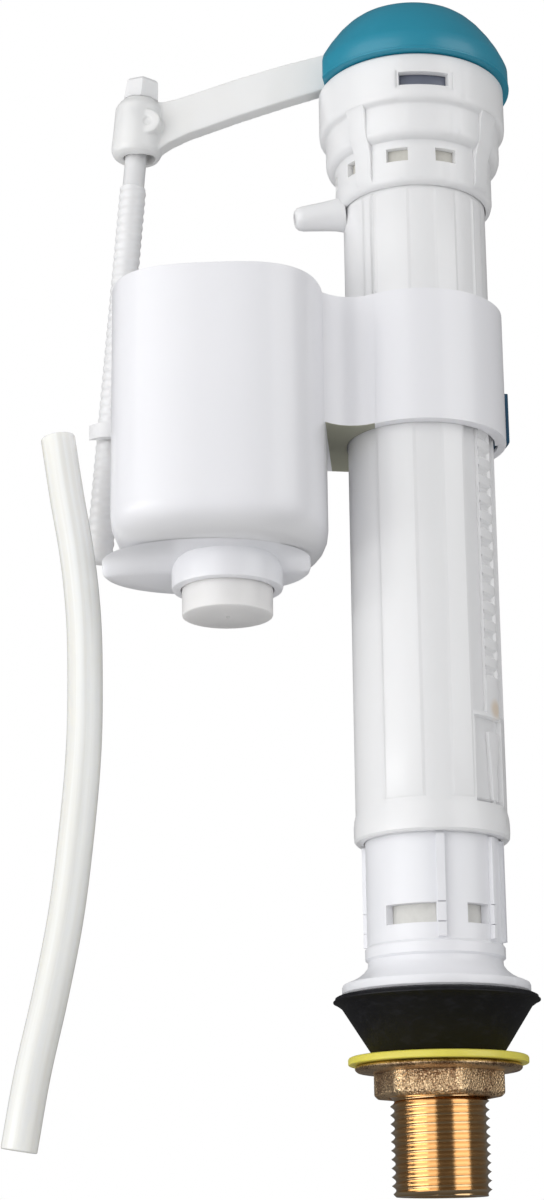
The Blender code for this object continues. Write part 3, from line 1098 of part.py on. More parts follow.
hose_points = smooth_route([(x * MM, HOSE_Y, z * MM) for x, z in HOSE_ROUTE], 10)
hose_curve = bpy.data.curves.new("refill_hose", "CURVE")
hose_curve.dimensions = "3D"
hose_curve.bevel_depth = HOSE_RADIUS
hose_curve.bevel_resolution = 3
hose_curve.use_fill_caps = True
line = hose_curve.splines.new("POLY")
line.points.add(len(hose_points) - 1)
for spot, point in zip(line.points, hose_points):
    spot.co = (*point, 1)
hose_curve.materials.append(milky)
hose = bpy.data.objects.new("refill_hose", hose_curve)
bpy.context.collection.objects.link(hose)
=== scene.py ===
import math

import bmesh
import bpy
from mathutils import Matrix, Vector


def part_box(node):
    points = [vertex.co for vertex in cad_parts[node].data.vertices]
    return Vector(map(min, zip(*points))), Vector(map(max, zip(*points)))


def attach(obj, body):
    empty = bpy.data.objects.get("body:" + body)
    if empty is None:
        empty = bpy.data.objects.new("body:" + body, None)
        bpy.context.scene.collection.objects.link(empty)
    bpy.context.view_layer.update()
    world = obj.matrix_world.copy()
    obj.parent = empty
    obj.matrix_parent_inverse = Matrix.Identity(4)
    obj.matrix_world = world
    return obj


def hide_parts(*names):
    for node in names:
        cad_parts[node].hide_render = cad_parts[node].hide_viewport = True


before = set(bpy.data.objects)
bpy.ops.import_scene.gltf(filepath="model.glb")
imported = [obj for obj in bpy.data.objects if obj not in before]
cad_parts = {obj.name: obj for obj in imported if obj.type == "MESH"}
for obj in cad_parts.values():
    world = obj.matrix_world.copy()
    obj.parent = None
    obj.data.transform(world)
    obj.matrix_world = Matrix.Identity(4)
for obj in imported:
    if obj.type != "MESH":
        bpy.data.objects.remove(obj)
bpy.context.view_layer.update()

# Camera
# The valve is seen from the front and from a little below its inlet, through a long lens. The
# lens looks up by some sixteen degrees and is turned a little to the float's side.
camera_data = bpy.data.cameras.new("camera")
camera_data.sensor_fit = "VERTICAL"
camera_data.sensor_height = 36
camera_data.lens = 71.37
camera_data.clip_start = 0.01
camera = bpy.data.objects.new("camera", camera_data)
bpy.context.collection.objects.link(camera)
camera.matrix_world = (
    Matrix.Translation((0, -0.5136, -0.0593))
    @ Matrix.Rotation(math.radians(3.83), 4, "Z")
    @ Matrix.Rotation(math.radians(16.08 + 90), 4, "X")
    @ Matrix.Rotation(math.radians(-0.61), 4, "Z"))
bpy.context.scene.camera = camera

# Refill hose
# A soft milky tube that carries water from the head's nozzle to the overflow. It is extruded, cut
# square at both ends, and keeps a bend from the coil it came off. Its faint streaks run lengthwise.
MM = 0.001


class Amount:
    """A number that varies over a surface. Arithmetic on it adds Math nodes to its finish."""

    def __init__(self, finish, socket):
        self.finish = finish
        self.socket = socket

    def math(self, operation, *terms):
        return self.finish.node("ShaderNodeMath", {"operation": operation}, dict(enumerate(terms)))

    def __add__(self, other):
        return self.math("ADD", self, other)

    __radd__ = __add__

    def __sub__(self, other):
        return self.math("SUBTRACT", self, other)

    def __rsub__(self, other):
        return self.math("SUBTRACT", other, self)

    def __mul__(self, other):
        return self.math("MULTIPLY", self, other)

    __rmul__ = __mul__

    def __truediv__(self, other):
        return self.math("DIVIDE", self, other)

    def __pow__(self, power):
        return self.math("POWER", self, power)

    def size(self):
        return self.math("ABSOLUTE", self)

    def sine(self):
        return self.math("SINE", self)

    def rise(self, low, high):
        """0 below low and 1 above high, with a smooth change between them."""
        return self.finish.node("ShaderNodeMapRange", {"interpolation_type": "SMOOTHSTEP"},
                                {"Value": self, "From Min": low, "From Max": high})

    def within(self, low, high, edge):
        """1 between two limits and 0 outside them, with soft edges."""
        return self.rise(low - edge, low + edge) * (1 - self.rise(high - edge, high + edge))


class Finish:
    """A material for one kind of surface. Constants go on its shader's own sockets."""

    def __init__(self, name, constants):
        self.material = bpy.data.materials.new(name)
        self.material.use_nodes = True
        self.tree = self.material.node_tree
        self.shader = self.tree.nodes["Principled BSDF"]
        for socket, value in constants.items():
            self.shader.inputs[socket].default_value = value

    def node(self, kind, settings=None, inputs=None, output=0):
        node = self.tree.nodes.new(kind)
        for name, value in (settings or {}).items():
            setattr(node, name, value)
        for name, value in (inputs or {}).items():
            if isinstance(value, Amount):
                self.tree.links.new(value.socket, node.inputs[name])
            else:
                node.inputs[name].default_value = value
        return Amount(self, node.outputs[output])

    def place(self):
        return self.node("ShaderNodeTexCoord", output="Object")

    def along(self, axis):
        """One coordinate of the place on the object, in metres."""
        return self.node("ShaderNodeSeparateXYZ", None, {0: self.place()}, axis)

    def cloudy(self, scale, detail=2, stretch=(1, 1, 1), distortion=0):
        """Noise from 0 to 1, with a scale in blotches to the metre."""
        spot = self.node("ShaderNodeMapping", None, {"Vector": self.place(), "Scale": stretch})
        return self.node("ShaderNodeTexNoise", None, {
            "Vector": spot, "Scale": scale, "Detail": detail, "Distortion": distortion})

    def mix(self, share, first, second):
        return self.node("ShaderNodeMix", {"data_type": "RGBA"}, {0: share, 6: first, 7: second}, 2)

    def set(self, socket, value):
        self.tree.links.new(value.socket, self.shader.inputs[socket])

    def bump(self, height, distance, strength=1.0):
        """Raise the surface by a height from 0 to 1, times a distance in metres."""
        relief = self.node("ShaderNodeBump", None, {
            "Height": height, "Distance": distance, "Strength": strength})
        self.tree.links.new(relief.socket, self.shader.inputs["Normal"])


def colour(red, green, blue):
    """A colour from its 0 to 255 levels on a screen."""
    return (*(((level / 255 + 0.055) / 1.055) ** 2.4 for level in (red, green, blue)), 1)


HOSE_RADIUS = 3.9 * MM
HOSE_WALL = 1.2 * MM
HOSE_Y = -8.0 * MM
HOSE_ROUTE = [
    (-0.0823, 0.1266), (-0.0800, 0.1123), (-0.0775, 0.0983), (-0.0759, 0.0840),
    (-0.0754, 0.0695), (-0.0755, 0.0545), (-0.0766, 0.0385), (-0.0788, 0.0185),
    (-0.0820, 0.0008), (-0.0856, -0.0159), (-0.0882, -0.0317)]


def smooth_route(points, steps):
    """Points on a smooth curve through the route's own points."""
    knots = [2 * points[0] - points[1]] + points + [2 * points[-1] - points[-2]]
    route = []
    for a, b, c, d in zip(knots, knots[1:], knots[2:], knots[3:]):
        for i in range(steps):
            t = i / steps
            route.append(0.5 * (2 * b + (c - a) * t + (2 * a - 5 * b + 4 * c - d) * t ** 2
                                + (3 * b - 3 * c + d - a) * t ** 3))
    return route + [points[-1]]


hose_path = smooth_route([Vector((x, HOSE_Y, z)) for x, z in HOSE_ROUTE], 6)
hose_length = sum((b - a).length for a, b in zip(hose_path, hose_path[1:]))
hose_bm = bmesh.new()
turn_layer = hose_bm.verts.layers.float.new("turn")


def hose_place(index):
    """The hose's own axes at a point of its path: sideways, forward and along."""
    ahead = hose_path[min(index + 1, len(hose_path) - 1)] - hose_path[max(index - 1, 0)]
    along = ahead.normalized()
    side = Vector((0, 1, 0)).cross(along).normalized()
    axes = Matrix((side, along.cross(side), along)).transposed().to_4x4()
    return Matrix.Translation(hose_path[index]) @ axes


ring = bmesh.ops.create_circle(hose_bm, segments=40, radius=HOSE_RADIUS)["verts"]
for vert in ring:
    vert[turn_layer] = math.atan2(vert.co.y, vert.co.x)
bmesh.ops.transform(hose_bm, matrix=hose_place(0), verts=ring)
edges = hose_bm.edges[:]
for index in range(1, len(hose_path)):
    grown = bmesh.ops.extrude_edge_only(hose_bm, edges=edges)["geom"]
    ring = [part for part in grown if isinstance(part, bmesh.types.BMVert)]
    edges = [part for part in grown if isinstance(part, bmesh.types.BMEdge)]
    bmesh.ops.transform(hose_bm, matrix=hose_place(index) @ hose_place(index - 1).inverted(),
                        verts=ring)
bmesh.ops.recalc_face_normals(hose_bm, faces=hose_bm.faces)

milky = Finish("milky hose", {
    "Roughness": 0.24, "Subsurface Weight": 0.35, "Subsurface Radius": (1.0, 0.9, 0.7),
    "Subsurface Scale": 0.004, "Coat Weight": 0.25, "Coat Roughness": 0.12})
turn = milky.node("ShaderNodeAttribute", {"attribute_name": "turn"}, output="Fac")
streaks = milky.node("ShaderNodeTexNoise", {"noise_dimensions": "2D"}, {
    "Vector": milky.node("ShaderNodeCombineXYZ", None, {0: turn, 1: milky.along(2) * 4}),
    "Scale": 2.4, "Detail": 3})
# Painted highlight: a cosine of the angle round the tube lightens one side of the hose, like a streak of
# reflected light.
glow_and_painted_sheen = (turn * 1.0 + 2.15).math("COSINE", turn * 1.0 + 2.15)
milky.set("Base Color", milky.mix(
    (streaks.rise(0.35, 0.72) * 0.6 + glow_and_painted_sheen * 0.4).rise(0, 1),
    colour(244, 242, 233), colour(255, 255, 249)))
milky.bump(streaks, 0.05 * MM, 0.4)


def piece(name, bm, finish, body, slot, *nodes, sharp=38):
    """Make an object of a bmesh, in its finish, on its body, for the nodes that it replaces."""
    mesh = bpy.data.meshes.new(name)
    bm.to_mesh(mesh)
    bm.free()
    mesh.shade_smooth()
    mesh.set_sharp_from_angle(angle=math.radians(sharp))
    mesh.materials.append(finish.material)
    made = bpy.data.objects.new(name, mesh)
    bpy.context.collection.objects.link(made)
    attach(made, body)
    if nodes:
        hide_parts(*nodes)
    return made


def soften(made, width, segments=2, angle=38):
    """Round a moulded piece's edges."""
    bevel = made.modifiers.new("soft edges", "BEVEL")
    bevel.width = width
    bevel.segments = segments
    bevel.limit_method = "ANGLE"
    bevel.angle_limit = math.radians(angle)
    bevel.harden_normals = True


def thicken(made, wall, offset=-1):
    solid = made.modifiers.new("wall", "SOLIDIFY")
    solid.thickness = wall
    solid.offset = offset


hose = piece("refill_tube", hose_bm, milky, "valve_body", "hose_plastic", "refill_hose")
thicken(hose, HOSE_WALL)
soften(hose, 0.25 * MM)

# Studio
# Plain soft light: a white surround, two tall soft lights, a low one on the left for the undersides,
# and a pale floor well below the inlet. Gloss sees a darker room between two tall panels of its own.
world = bpy.data.worlds.new("studio")
bpy.context.scene.world = world
world.use_nodes = True
room = world.node_tree
backdrop = room.nodes["Background"]
backdrop.inputs["Color"].default_value = (1, 1, 1, 1)
seen = room.nodes.new("ShaderNodeLightPath")
level = room.nodes.new("ShaderNodeMix")
level.inputs["A"].default_value = 0.62
level.inputs["B"].default_value = 0.12
room.links.new(seen.outputs["Is Glossy Ray"], level.inputs["Factor"])
shown = room.nodes.new("ShaderNodeMix")
shown.inputs["B"].default_value = 1.0
room.links.new(seen.outputs["Is Camera Ray"], shown.inputs["Factor"])
room.links.new(level.outputs["Result"], shown.inputs["A"])
room.links.new(shown.outputs["Result"], backdrop.inputs["Strength"])
bpy.context.scene.view_settings.view_transform = "Standard"


def soft_light(name, azimuth, distance, height, width, tall, power):
    """A rectangular light that faces the valve from an azimuth, in degrees from -Y toward +X."""
    lamp = bpy.data.lights.new(name, "AREA")
    lamp.shape = "RECTANGLE"
    lamp.size = width
    lamp.size_y = tall
    lamp.energy = power
    holder = bpy.data.objects.new(name, lamp)
    bpy.context.collection.objects.link(holder)
    angle = math.radians(azimuth)
    holder.location = (distance * math.sin(angle), -distance * math.cos(angle), height)
    aim = Vector((0, 0, 0.09)) - holder.location
    holder.rotation_euler = aim.to_track_quat("-Z", "Y").to_euler()
    holder.visible_camera = False
    return holder


soft_light("left_light", -42, 1.0, 0.12, 1.2, 1.8, 6.3)
soft_light("right_light", 56, 1.1, 0.15, 0.95, 1.8, 2.2)
soft_light("low_light", -64, 0.8, 0.0, 0.9, 0.14, 1.4)
for name, azimuth, distance, width, power in (
        ("left_gloss", -38, 1.02, 1.05, 3.4), ("right_gloss", 56, 1.12, 0.85, 6.4)):
    soft_light(name, azimuth, distance, 0.13, width, 1.8, power).visible_diffuse = False

FLOOR_HEIGHT = -0.085
floor_bm = bmesh.new()
bmesh.ops.create_grid(floor_bm, x_segments=1, y_segments=1, size=3)
bmesh.ops.translate(floor_bm, vec=(0, 0, FLOOR_HEIGHT), verts=floor_bm.verts)
floor_mesh = bpy.data.meshes.new("floor")
floor_bm.to_mesh(floor_mesh)
floor_bm.free()
pale = Finish("pale floor", {"Roughness": 0.7})
pale.set("Base Color", pale.mix(pale.cloudy(6), colour(226, 226, 226), colour(232, 232, 232)))
floor_mesh.materials.append(pale.material)
floor = bpy.data.objects.new("floor", floor_mesh)
bpy.context.collection.objects.link(floor)
floor.visible_glossy = False

# Inlet shank
# The brass tail that hangs through the cistern's floor. It is turned from bar, with a rolled
# half-inch pipe thread, and the base is moulded over its head.
SHANK_RADIUS = 20.955 / 2 * MM
SHANK_BORE = 7.0 * MM
SHANK_BOTTOM = -41.8 * MM
SHANK_TOP = 6.0 * MM
THREAD_PITCH = 25.4 / 14 * MM
THREAD_DEPTH = 0.85 * MM
THREAD_STEPS = 72
THREAD_TOP = -8.0 * MM
SHANK_HEAD_BOTTOM = 4.0 * MM
SHANK_HEAD_RADIUS = 12.3 * MM


def threaded(radius, depth, pitch, bottom, top, steps, crest=1.0, place=None):
    """A tube of screw thread between two heights, cut square at both ends."""
    bm = bmesh.new()
    count = 10
    verts = []
    for i in range(count + 1):
        wave = 0.5 + 0.5 * math.cos(2 * math.pi * i / count)
        verts.append(bm.verts.new((0, -radius + depth * wave ** crest,
                                   bottom - pitch + pitch * i / count)))
    edges = [bm.edges.new(pair) for pair in zip(verts, verts[1:])]
    turns = math.ceil((top - bottom) / pitch) + 2
    bmesh.ops.spin(bm, geom=verts + edges, cent=(0, 0, 0), axis=(0, 0, 1),
                   dvec=(0, 0, pitch / steps), angle=2 * math.pi * turns, steps=steps * turns)
    bmesh.ops.remove_doubles(bm, verts=bm.verts, dist=0.001 * MM)
    for height, up in ((bottom, False), (top, True)):
        bmesh.ops.bisect_plane(bm, geom=bm.verts[:] + bm.edges[:] + bm.faces[:],
                               plane_co=(0, 0, height), plane_no=(0, 0, 1),
                               clear_outer=up, clear_inner=not up)
    return bm


def rim_edges(bm, height):
    """The open edges of a shell at one height."""
    return [edge for edge in bm.edges if edge.is_boundary
            and all(abs(vert.co.z - height) < 0.01 * MM for vert in edge.verts)]


def add_ring(bm, radius, height, segments):
    """A circle of edges about the centreline."""
    made = bmesh.ops.create_circle(bm, segments=segments, radius=radius)["verts"]
    bmesh.ops.translate(bm, vec=(0, 0, height), verts=made)
    return list({edge for vert in made for edge in vert.link_edges})


shank_bm = threaded(SHANK_RADIUS, THREAD_DEPTH, THREAD_PITCH, SHANK_BOTTOM, THREAD_TOP,
                    THREAD_STEPS, 0.5)
for vert in shank_bm.verts:
    limit = SHANK_RADIUS - THREAD_DEPTH + (vert.co.z - SHANK_BOTTOM) * 1.1
    radius = vert.co.xy.length
    if radius > limit:
        vert.co.xy *= limit / radius
lower = rim_edges(shank_bm, SHANK_BOTTOM)
upper = rim_edges(shank_bm, THREAD_TOP)
face_ring = add_ring(shank_bm, SHANK_BORE + 0.5 * MM, SHANK_BOTTOM, THREAD_STEPS)
bmesh.ops.bridge_loops(shank_bm, edges=lower + face_ring)
bore_ring = face_ring
for radius, height in ((SHANK_BORE, SHANK_BOTTOM + 0.5 * MM), (SHANK_BORE, SHANK_TOP)):
    next_ring = add_ring(shank_bm, radius, height, THREAD_STEPS)
    bmesh.ops.bridge_loops(shank_bm, edges=bore_ring + next_ring)
    bore_ring = next_ring
collar_ring = upper
for radius, height in ((SHANK_RADIUS, -7.6 * MM), (SHANK_RADIUS, SHANK_HEAD_BOTTOM),
                       (SHANK_HEAD_RADIUS, SHANK_HEAD_BOTTOM), (SHANK_HEAD_RADIUS, SHANK_TOP)):
    next_ring = add_ring(shank_bm, radius, height, THREAD_STEPS)
    bmesh.ops.bridge_loops(shank_bm, edges=collar_ring + next_ring)
    collar_ring = next_ring
bmesh.ops.bridge_loops(shank_bm, edges=collar_ring + bore_ring)
bmesh.ops.recalc_face_normals(shank_bm, faces=shank_bm.faces)

gold = Finish("turned brass", {"Metallic": 1.0, "Roughness": 0.2})
reach = (gold.along(0) ** 2 + gold.along(1) ** 2) ** 0.5
worn = reach.rise(SHANK_RADIUS - THREAD_DEPTH, SHANK_RADIUS - 0.15 * MM)
turning = gold.cloudy(300, 3, (1, 1, 14))
gold.set("Base Color", gold.mix(
    worn * 0.75 + turning * 0.25, colour(212, 172, 122), colour(252, 226, 190)))
gold.set("Roughness", 0.1 + turning * 0.12)
gold.bump(turning, 0.02 * MM, 0.5)
piece("threaded_shank", shank_bm, gold, "valve_body", "turned_brass", "inlet_shank", sharp=60)

# Backnut
# A cast brass hexagon nut with a turned flange. The hexagon's faces keep the sand's grain, its
# corners are rubbed bright, and the flange's edge is turned.
NUT_BOTTOM = -21.6 * MM
NUT_TOP = -14.9 * MM
NUT_ACROSS_FLATS = 24.8 * MM
NUT_CORNER_AZIMUTH = 21.1
NUT_RIM_RADIUS = 17.8 * MM
NUT_RIM_HEIGHT = 0.9 * MM
NUT_HEX_TOP = -16.4 * MM
NUT_BORE = SHANK_RADIUS + 0.35 * MM


def grow(bm, edges, scale, rise):
    """Extrude a loop of edges up or down, and widen or narrow it."""
    grown = bmesh.ops.extrude_edge_only(bm, edges=edges)["geom"]
    verts = [part for part in grown if isinstance(part, bmesh.types.BMVert)]
    bmesh.ops.scale(bm, vec=(scale, scale, 1), verts=verts)
    bmesh.ops.translate(bm, vec=(0, 0, rise), verts=verts)
    return [part for part in grown if isinstance(part, bmesh.types.BMEdge)]


nut_bm = bmesh.new()
bmesh.ops.create_circle(nut_bm, segments=6, radius=NUT_ACROSS_FLATS / 2 / math.cos(math.pi / 6),
                        matrix=Matrix.Rotation(math.radians(NUT_CORNER_AZIMUTH - 180), 4, "Z"))
bmesh.ops.bevel(nut_bm, geom=nut_bm.verts[:], offset=1.1 * MM, segments=4, profile=0.5,
                affect="VERTICES", material=-1)
bmesh.ops.subdivide_edges(nut_bm, edges=[edge for edge in nut_bm.edges
                                         if edge.calc_length() > 5 * MM], cuts=11)
bmesh.ops.translate(nut_bm, vec=(0, 0, NUT_BOTTOM + 0.8 * MM), verts=nut_bm.verts)
hexagon = nut_bm.edges[:]
chamfer = grow(nut_bm, hexagon, 0.94, -0.8 * MM)
bmesh.ops.bridge_loops(nut_bm, edges=chamfer + add_ring(nut_bm, NUT_BORE, NUT_BOTTOM, 96))
wall_top = grow(nut_bm, hexagon, 1.0, NUT_HEX_TOP - NUT_BOTTOM - 0.8 * MM)
flare = add_ring(nut_bm, NUT_RIM_RADIUS - 0.5 * MM, NUT_TOP - NUT_RIM_HEIGHT - 0.2 * MM, 96)
bmesh.ops.bridge_loops(nut_bm, edges=wall_top + flare)
rim = flare
for radius, height in ((NUT_RIM_RADIUS, NUT_TOP - NUT_RIM_HEIGHT + 0.2 * MM),
                       (NUT_RIM_RADIUS, NUT_TOP - 0.2 * MM), (NUT_RIM_RADIUS - 0.3 * MM, NUT_TOP),
                       (NUT_BORE, NUT_TOP - 0.1 * MM), (NUT_BORE, NUT_BOTTOM)):
    next_ring = add_ring(nut_bm, radius, height, 96)
    bmesh.ops.bridge_loops(nut_bm, edges=rim + next_ring)
    rim = next_ring
bmesh.ops.remove_doubles(nut_bm, verts=nut_bm.verts, dist=0.001 * MM)
bmesh.ops.recalc_face_normals(nut_bm, faces=nut_bm.faces)

cast = Finish("cast brass", {"Metallic": 1.0})
height_up = cast.along(2)
on_hexagon = 1 - height_up.rise(NUT_HEX_TOP - 0.2 * MM, NUT_HEX_TOP + 0.6 * MM)
sand = cast.node("ShaderNodeTexVoronoi", {"feature": "F1"}, {
    "Vector": cast.place(), "Scale": 2300, "Randomness": 1})
grain = cast.cloudy(2600, 3)
out = (cast.along(0) ** 2 + cast.along(1) ** 2) ** 0.5
rubbed = out.rise(13.3 * MM, 14.0 * MM) * on_hexagon
cast.set("Base Color", cast.mix(
    ((grain * 0.6 + cast.cloudy(160) * 0.5).rise(0.35, 0.75) + rubbed * 0.5).rise(0, 1),
    colour(138, 102, 74), colour(252, 220, 176)))
cast.set("Roughness", 0.28 + grain * 0.2 - rubbed * 0.12)
cast.bump((sand + grain) * (0.25 + on_hexagon * 0.75), 0.26 * MM, 0.9)
nut = piece("hexagon_nut", nut_bm, cast, "nut", "cast_brass", "backnut")
soften(nut, 0.3 * MM)

# Friction washer
# A thin greenish yellow disc of slippery plastic between the nut and the cistern. It is stamped
# from sheet, so its edge is a little rounded on top and sheared below.


def spun(profile, steps=120, closed=True):
    """A body of revolution about the centreline, from (radius, height) points in order."""
    bm = bmesh.new()
    verts = [bm.verts.new((0, -radius, height)) for radius, height in profile]
    pairs = list(zip(verts, verts[1:]))
    if closed:
        pairs.append((verts[-1], verts[0]))
    edges = [bm.edges.new(pair) for pair in pairs]
    bmesh.ops.spin(bm, geom=verts + edges, cent=(0, 0, 0), axis=(0, 0, 1), angle=2 * math.pi,
                   steps=steps, use_merge=True)
    bmesh.ops.remove_doubles(bm, verts=bm.verts, dist=0.001 * MM)
    bmesh.ops.recalc_face_normals(bm, faces=bm.faces)
    return bm


WASHER_RADIUS = 19.2 * MM
WASHER_TOP = -13.0 * MM
WASHER_THICKNESS = 1.6 * MM
lemon = Finish("yellow slip plastic", {
    "Roughness": 0.34, "Subsurface Weight": 0.2, "Subsurface Radius": (1.0, 0.9, 0.2),
    "Subsurface Scale": 0.002})
lemon.set("Base Color", lemon.mix(
    lemon.cloudy(90, 3), colour(216, 203, 68), colour(240, 229, 108)))
lemon.bump(lemon.cloudy(900, 2), 0.03 * MM, 0.4)
washer = piece("slip_washer", spun((
    (NUT_BORE, WASHER_TOP - WASHER_THICKNESS),
    (WASHER_RADIUS - 0.15 * MM, WASHER_TOP - WASHER_THICKNESS),
    (WASHER_RADIUS, WASHER_TOP - WASHER_THICKNESS + 0.15 * MM),
    (WASHER_RADIUS, WASHER_TOP - 0.5 * MM),
    (WASHER_RADIUS - 0.15 * MM, WASHER_TOP - 0.15 * MM),
    (WASHER_RADIUS - 0.5 * MM, WASHER_TOP),
    (NUT_BORE, WASHER_TOP))), lemon, "washer", "yellow_plastic", "friction_washer")
soften(washer, 0.1 * MM)

# Cone seal
# A black rubber cone with a thin shoulder, pressed into the cistern's hole by the nut. Its
# moulding line stands out as a ragged lip, and handling has left it dusty and scuffed.
SEAL_TOP = -0.3 * MM
SEAL_HEIGHT = 12.4 * MM
SEAL_RADIUS = 21.9 * MM
SEAL_FOOT = 13.6 * MM
black = Finish("black rubber", {"Specular IOR Level": 0.35})
scuffs = black.cloudy(420, 5, (1, 1, 2.2), 0.6)
black.set("Base Color", black.mix(
    scuffs.rise(0.45, 0.8), colour(13, 13, 19), colour(29, 29, 36)))
black.set("Roughness", 0.42 + scuffs * 0.3)
black.bump(scuffs, 0.05 * MM, 0.4)
seal = piece("rubber_cone", spun((
    (SHANK_RADIUS + 0.3 * MM, SEAL_TOP - SEAL_HEIGHT),
    (SEAL_FOOT, SEAL_TOP - SEAL_HEIGHT),
    (SEAL_FOOT + 0.5 * MM, SEAL_TOP - SEAL_HEIGHT + 0.4 * MM),
    (SEAL_RADIUS - 1.5 * MM, SEAL_TOP - 2.2 * MM),
    (SEAL_RADIUS - 0.3 * MM, SEAL_TOP - 1.35 * MM),
    (SEAL_RADIUS + 0.25 * MM, SEAL_TOP - 1.1 * MM),
    (SEAL_RADIUS + 0.25 * MM, SEAL_TOP - 0.9 * MM),
    (SEAL_RADIUS - 0.1 * MM, SEAL_TOP - 0.7 * MM),
    (SEAL_RADIUS - 0.2 * MM, SEAL_TOP - 0.2 * MM),
    (SEAL_RADIUS - 0.6 * MM, SEAL_TOP),
    (SHANK_RADIUS + 0.3 * MM, SEAL_TOP))), black, "valve_body", "black_rubber", "cone_seal",
    sharp=50)

# Base
# The white moulding that stands on the cistern's floor: a flange that sweeps up into a short neck,
# and a windowed socket with upright ribs, with a dull grey ring behind its windows. The ring's grey
# is painted shade for the inside of the windows. The riser slips over its top.
BASE_WALL = 2.0 * MM
FLANGE_RADIUS = 20.2 * MM
NECK_RADIUS = 14.2 * MM
SOCKET_RADIUS = 14.6 * MM
SOCKET_BORE = SOCKET_RADIUS - BASE_WALL
RISER_BOTTOM = 32.9 * MM


def from_azimuth(azimuth, radius=1.0, height=0.0):
    """The point at an azimuth in degrees from -Y toward +X, a radius and a height."""
    angle = math.radians(azimuth)
    return Vector((radius * math.sin(angle), -radius * math.cos(angle), height))


def azimuth_of(point):
    return math.degrees(math.atan2(point.x, -point.y))


def wall_between(bm, azimuths, heights, outward=None):
    """Score a turned wall along two azimuths and two heights, and give its faces between them."""
    centre, half = (azimuths[0] + azimuths[1]) / 2, (azimuths[1] - azimuths[0]) / 2
    ahead = from_azimuth(centre)
    planes = [((0, 0, height), (0, 0, 1)) for height in heights]
    planes += [((0, 0, 0), from_azimuth(azimuth + 90)) for azimuth in azimuths]
    for point, normal in planes:
        near = [face for face in bm.faces if face.calc_center_median().dot(ahead) > 0
                and heights[0] - 40 * MM < face.calc_center_median().z < heights[1] + 40 * MM]
        cut = {part for face in near for part in (*face.verts, *face.edges, face)}
        bmesh.ops.bisect_plane(bm, geom=list(cut), plane_co=point, plane_no=normal)
    found = []
    for face in bm.faces:
        middle = face.calc_center_median()
        off = (azimuth_of(middle) - centre + 180) % 360 - 180
        radial = face.normal.dot(Vector((middle.x, middle.y, 0)).normalized())
        if abs(off) < half and heights[0] < middle.z < heights[1] and abs(radial) > 0.6:
            if outward is None or (radial > 0) == outward:
                found.append(face)
    return found


def pierce(bm, azimuths, heights):
    """Open a window through a turned wall."""
    gone = wall_between(bm, azimuths, heights)
    bmesh.ops.delete(bm, geom=gone, context="FACES")
    bmesh.ops.bridge_loops(bm, edges=[edge for edge in bm.edges if edge.is_boundary])


def stand_out(bm, azimuths, heights, proud, draft=0.12 * MM):
    """Raise a rib or band from a turned wall's outside, or sink a channel in it."""
    faces = wall_between(bm, azimuths, heights, True)
    bmesh.ops.inset_region(bm, faces=faces, thickness=draft, depth=proud, use_boundary=True,
                           use_even_offset=True)


base_bm = spun((
    (SHANK_RADIUS + 0.3 * MM, 0), (FLANGE_RADIUS - 0.4 * MM, 0), (FLANGE_RADIUS, 0.4 * MM),
    (FLANGE_RADIUS, 1.7 * MM), (FLANGE_RADIUS - 0.25 * MM, 2.2 * MM),
    (FLANGE_RADIUS - 0.9 * MM, 2.5 * MM), (FLANGE_RADIUS - 2.0 * MM, 2.9 * MM),
    (NECK_RADIUS + 2.4 * MM, 3.8 * MM), (NECK_RADIUS + 1.2 * MM, 4.8 * MM),
    (NECK_RADIUS + 0.4 * MM, 5.9 * MM), (NECK_RADIUS + 0.3 * MM, 7.1 * MM),
    (15.1 * MM, 7.6 * MM), (15.1 * MM, 9.7 * MM), (SOCKET_RADIUS, 10.3 * MM),
    (SOCKET_RADIUS, RISER_BOTTOM + 11.7 * MM), (SOCKET_BORE, RISER_BOTTOM + 11.7 * MM),
    (SOCKET_BORE, 3.7 * MM), (SHANK_RADIUS + 0.3 * MM, 3.7 * MM)))
for turn in (0, 180):
    for azimuths in ((-44, 2), (29, 52)):
        pierce(base_bm, (azimuths[0] + turn, azimuths[1] + turn), (13.7 * MM, 17.9 * MM))
    for azimuths in ((3, 10), (54, 59), (78, 83)):
        stand_out(base_bm, (azimuths[0] + turn, azimuths[1] + turn),
                  (10.6 * MM, RISER_BOTTOM - 0.4 * MM), 1.0 * MM)


def moulding(name, roughness, glow_and_painted_sheen):
    """A moulding plastic with a soft grain and a little light through it, still without colour."""
    made = Finish(name, {
        "Subsurface Weight": glow_and_painted_sheen, "Subsurface Radius": (1.0, 0.95, 0.9),
        "Subsurface Scale": 0.004, "Coat Weight": 0.15, "Coat Roughness": 0.1})
    made.set("Roughness", roughness + made.cloudy(160, 2) * 0.1)
    made.bump(made.cloudy(260, 2), 0.004 * MM, 0.3)
    return made


def flow_marks(finish, light, shade):
    """The faint marks that plastic leaves where it flowed through the mould."""
    return finish.mix(finish.cloudy(38, 3, (1, 1, 0.35), 0.4).rise(0.3, 0.7), shade, light)


def moulded(name, light, shade, roughness, glow_and_painted_sheen):
    """A moulding plastic in one colour with its flow marks."""
    made = moulding(name, roughness, glow_and_painted_sheen)
    made.set("Base Color", flow_marks(made, light, shade))
    return made


cool_white = moulded("cool white moulding", colour(242, 242, 246), colour(238, 239, 243), 0.28, 0.12)
base = piece("base_moulding", base_bm, cool_white, "valve_body", "white_plastic", "base_body")
soften(base, 0.3 * MM)
# Painted shade: the ring behind the socket's windows is a dull grey that stands for the shade inside
# them.
socket_shade_sheet = Finish("socket lining", {"Roughness": 0.6})
socket_shade_sheet.set("Base Color", socket_shade_sheet.mix(
    socket_shade_sheet.cloudy(900), colour(212, 211, 206), colour(224, 223, 219)))
piece("socket_shade_sheet", spun((
    (SOCKET_BORE - 0.6 * MM, 12.4 * MM), (SOCKET_BORE - 0.1 * MM, 12.4 * MM),
    (SOCKET_BORE - 0.1 * MM, 19.2 * MM), (SOCKET_BORE - 0.6 * MM, 19.2 * MM))), socket_shade_sheet,
    "valve_body", "white_plastic")

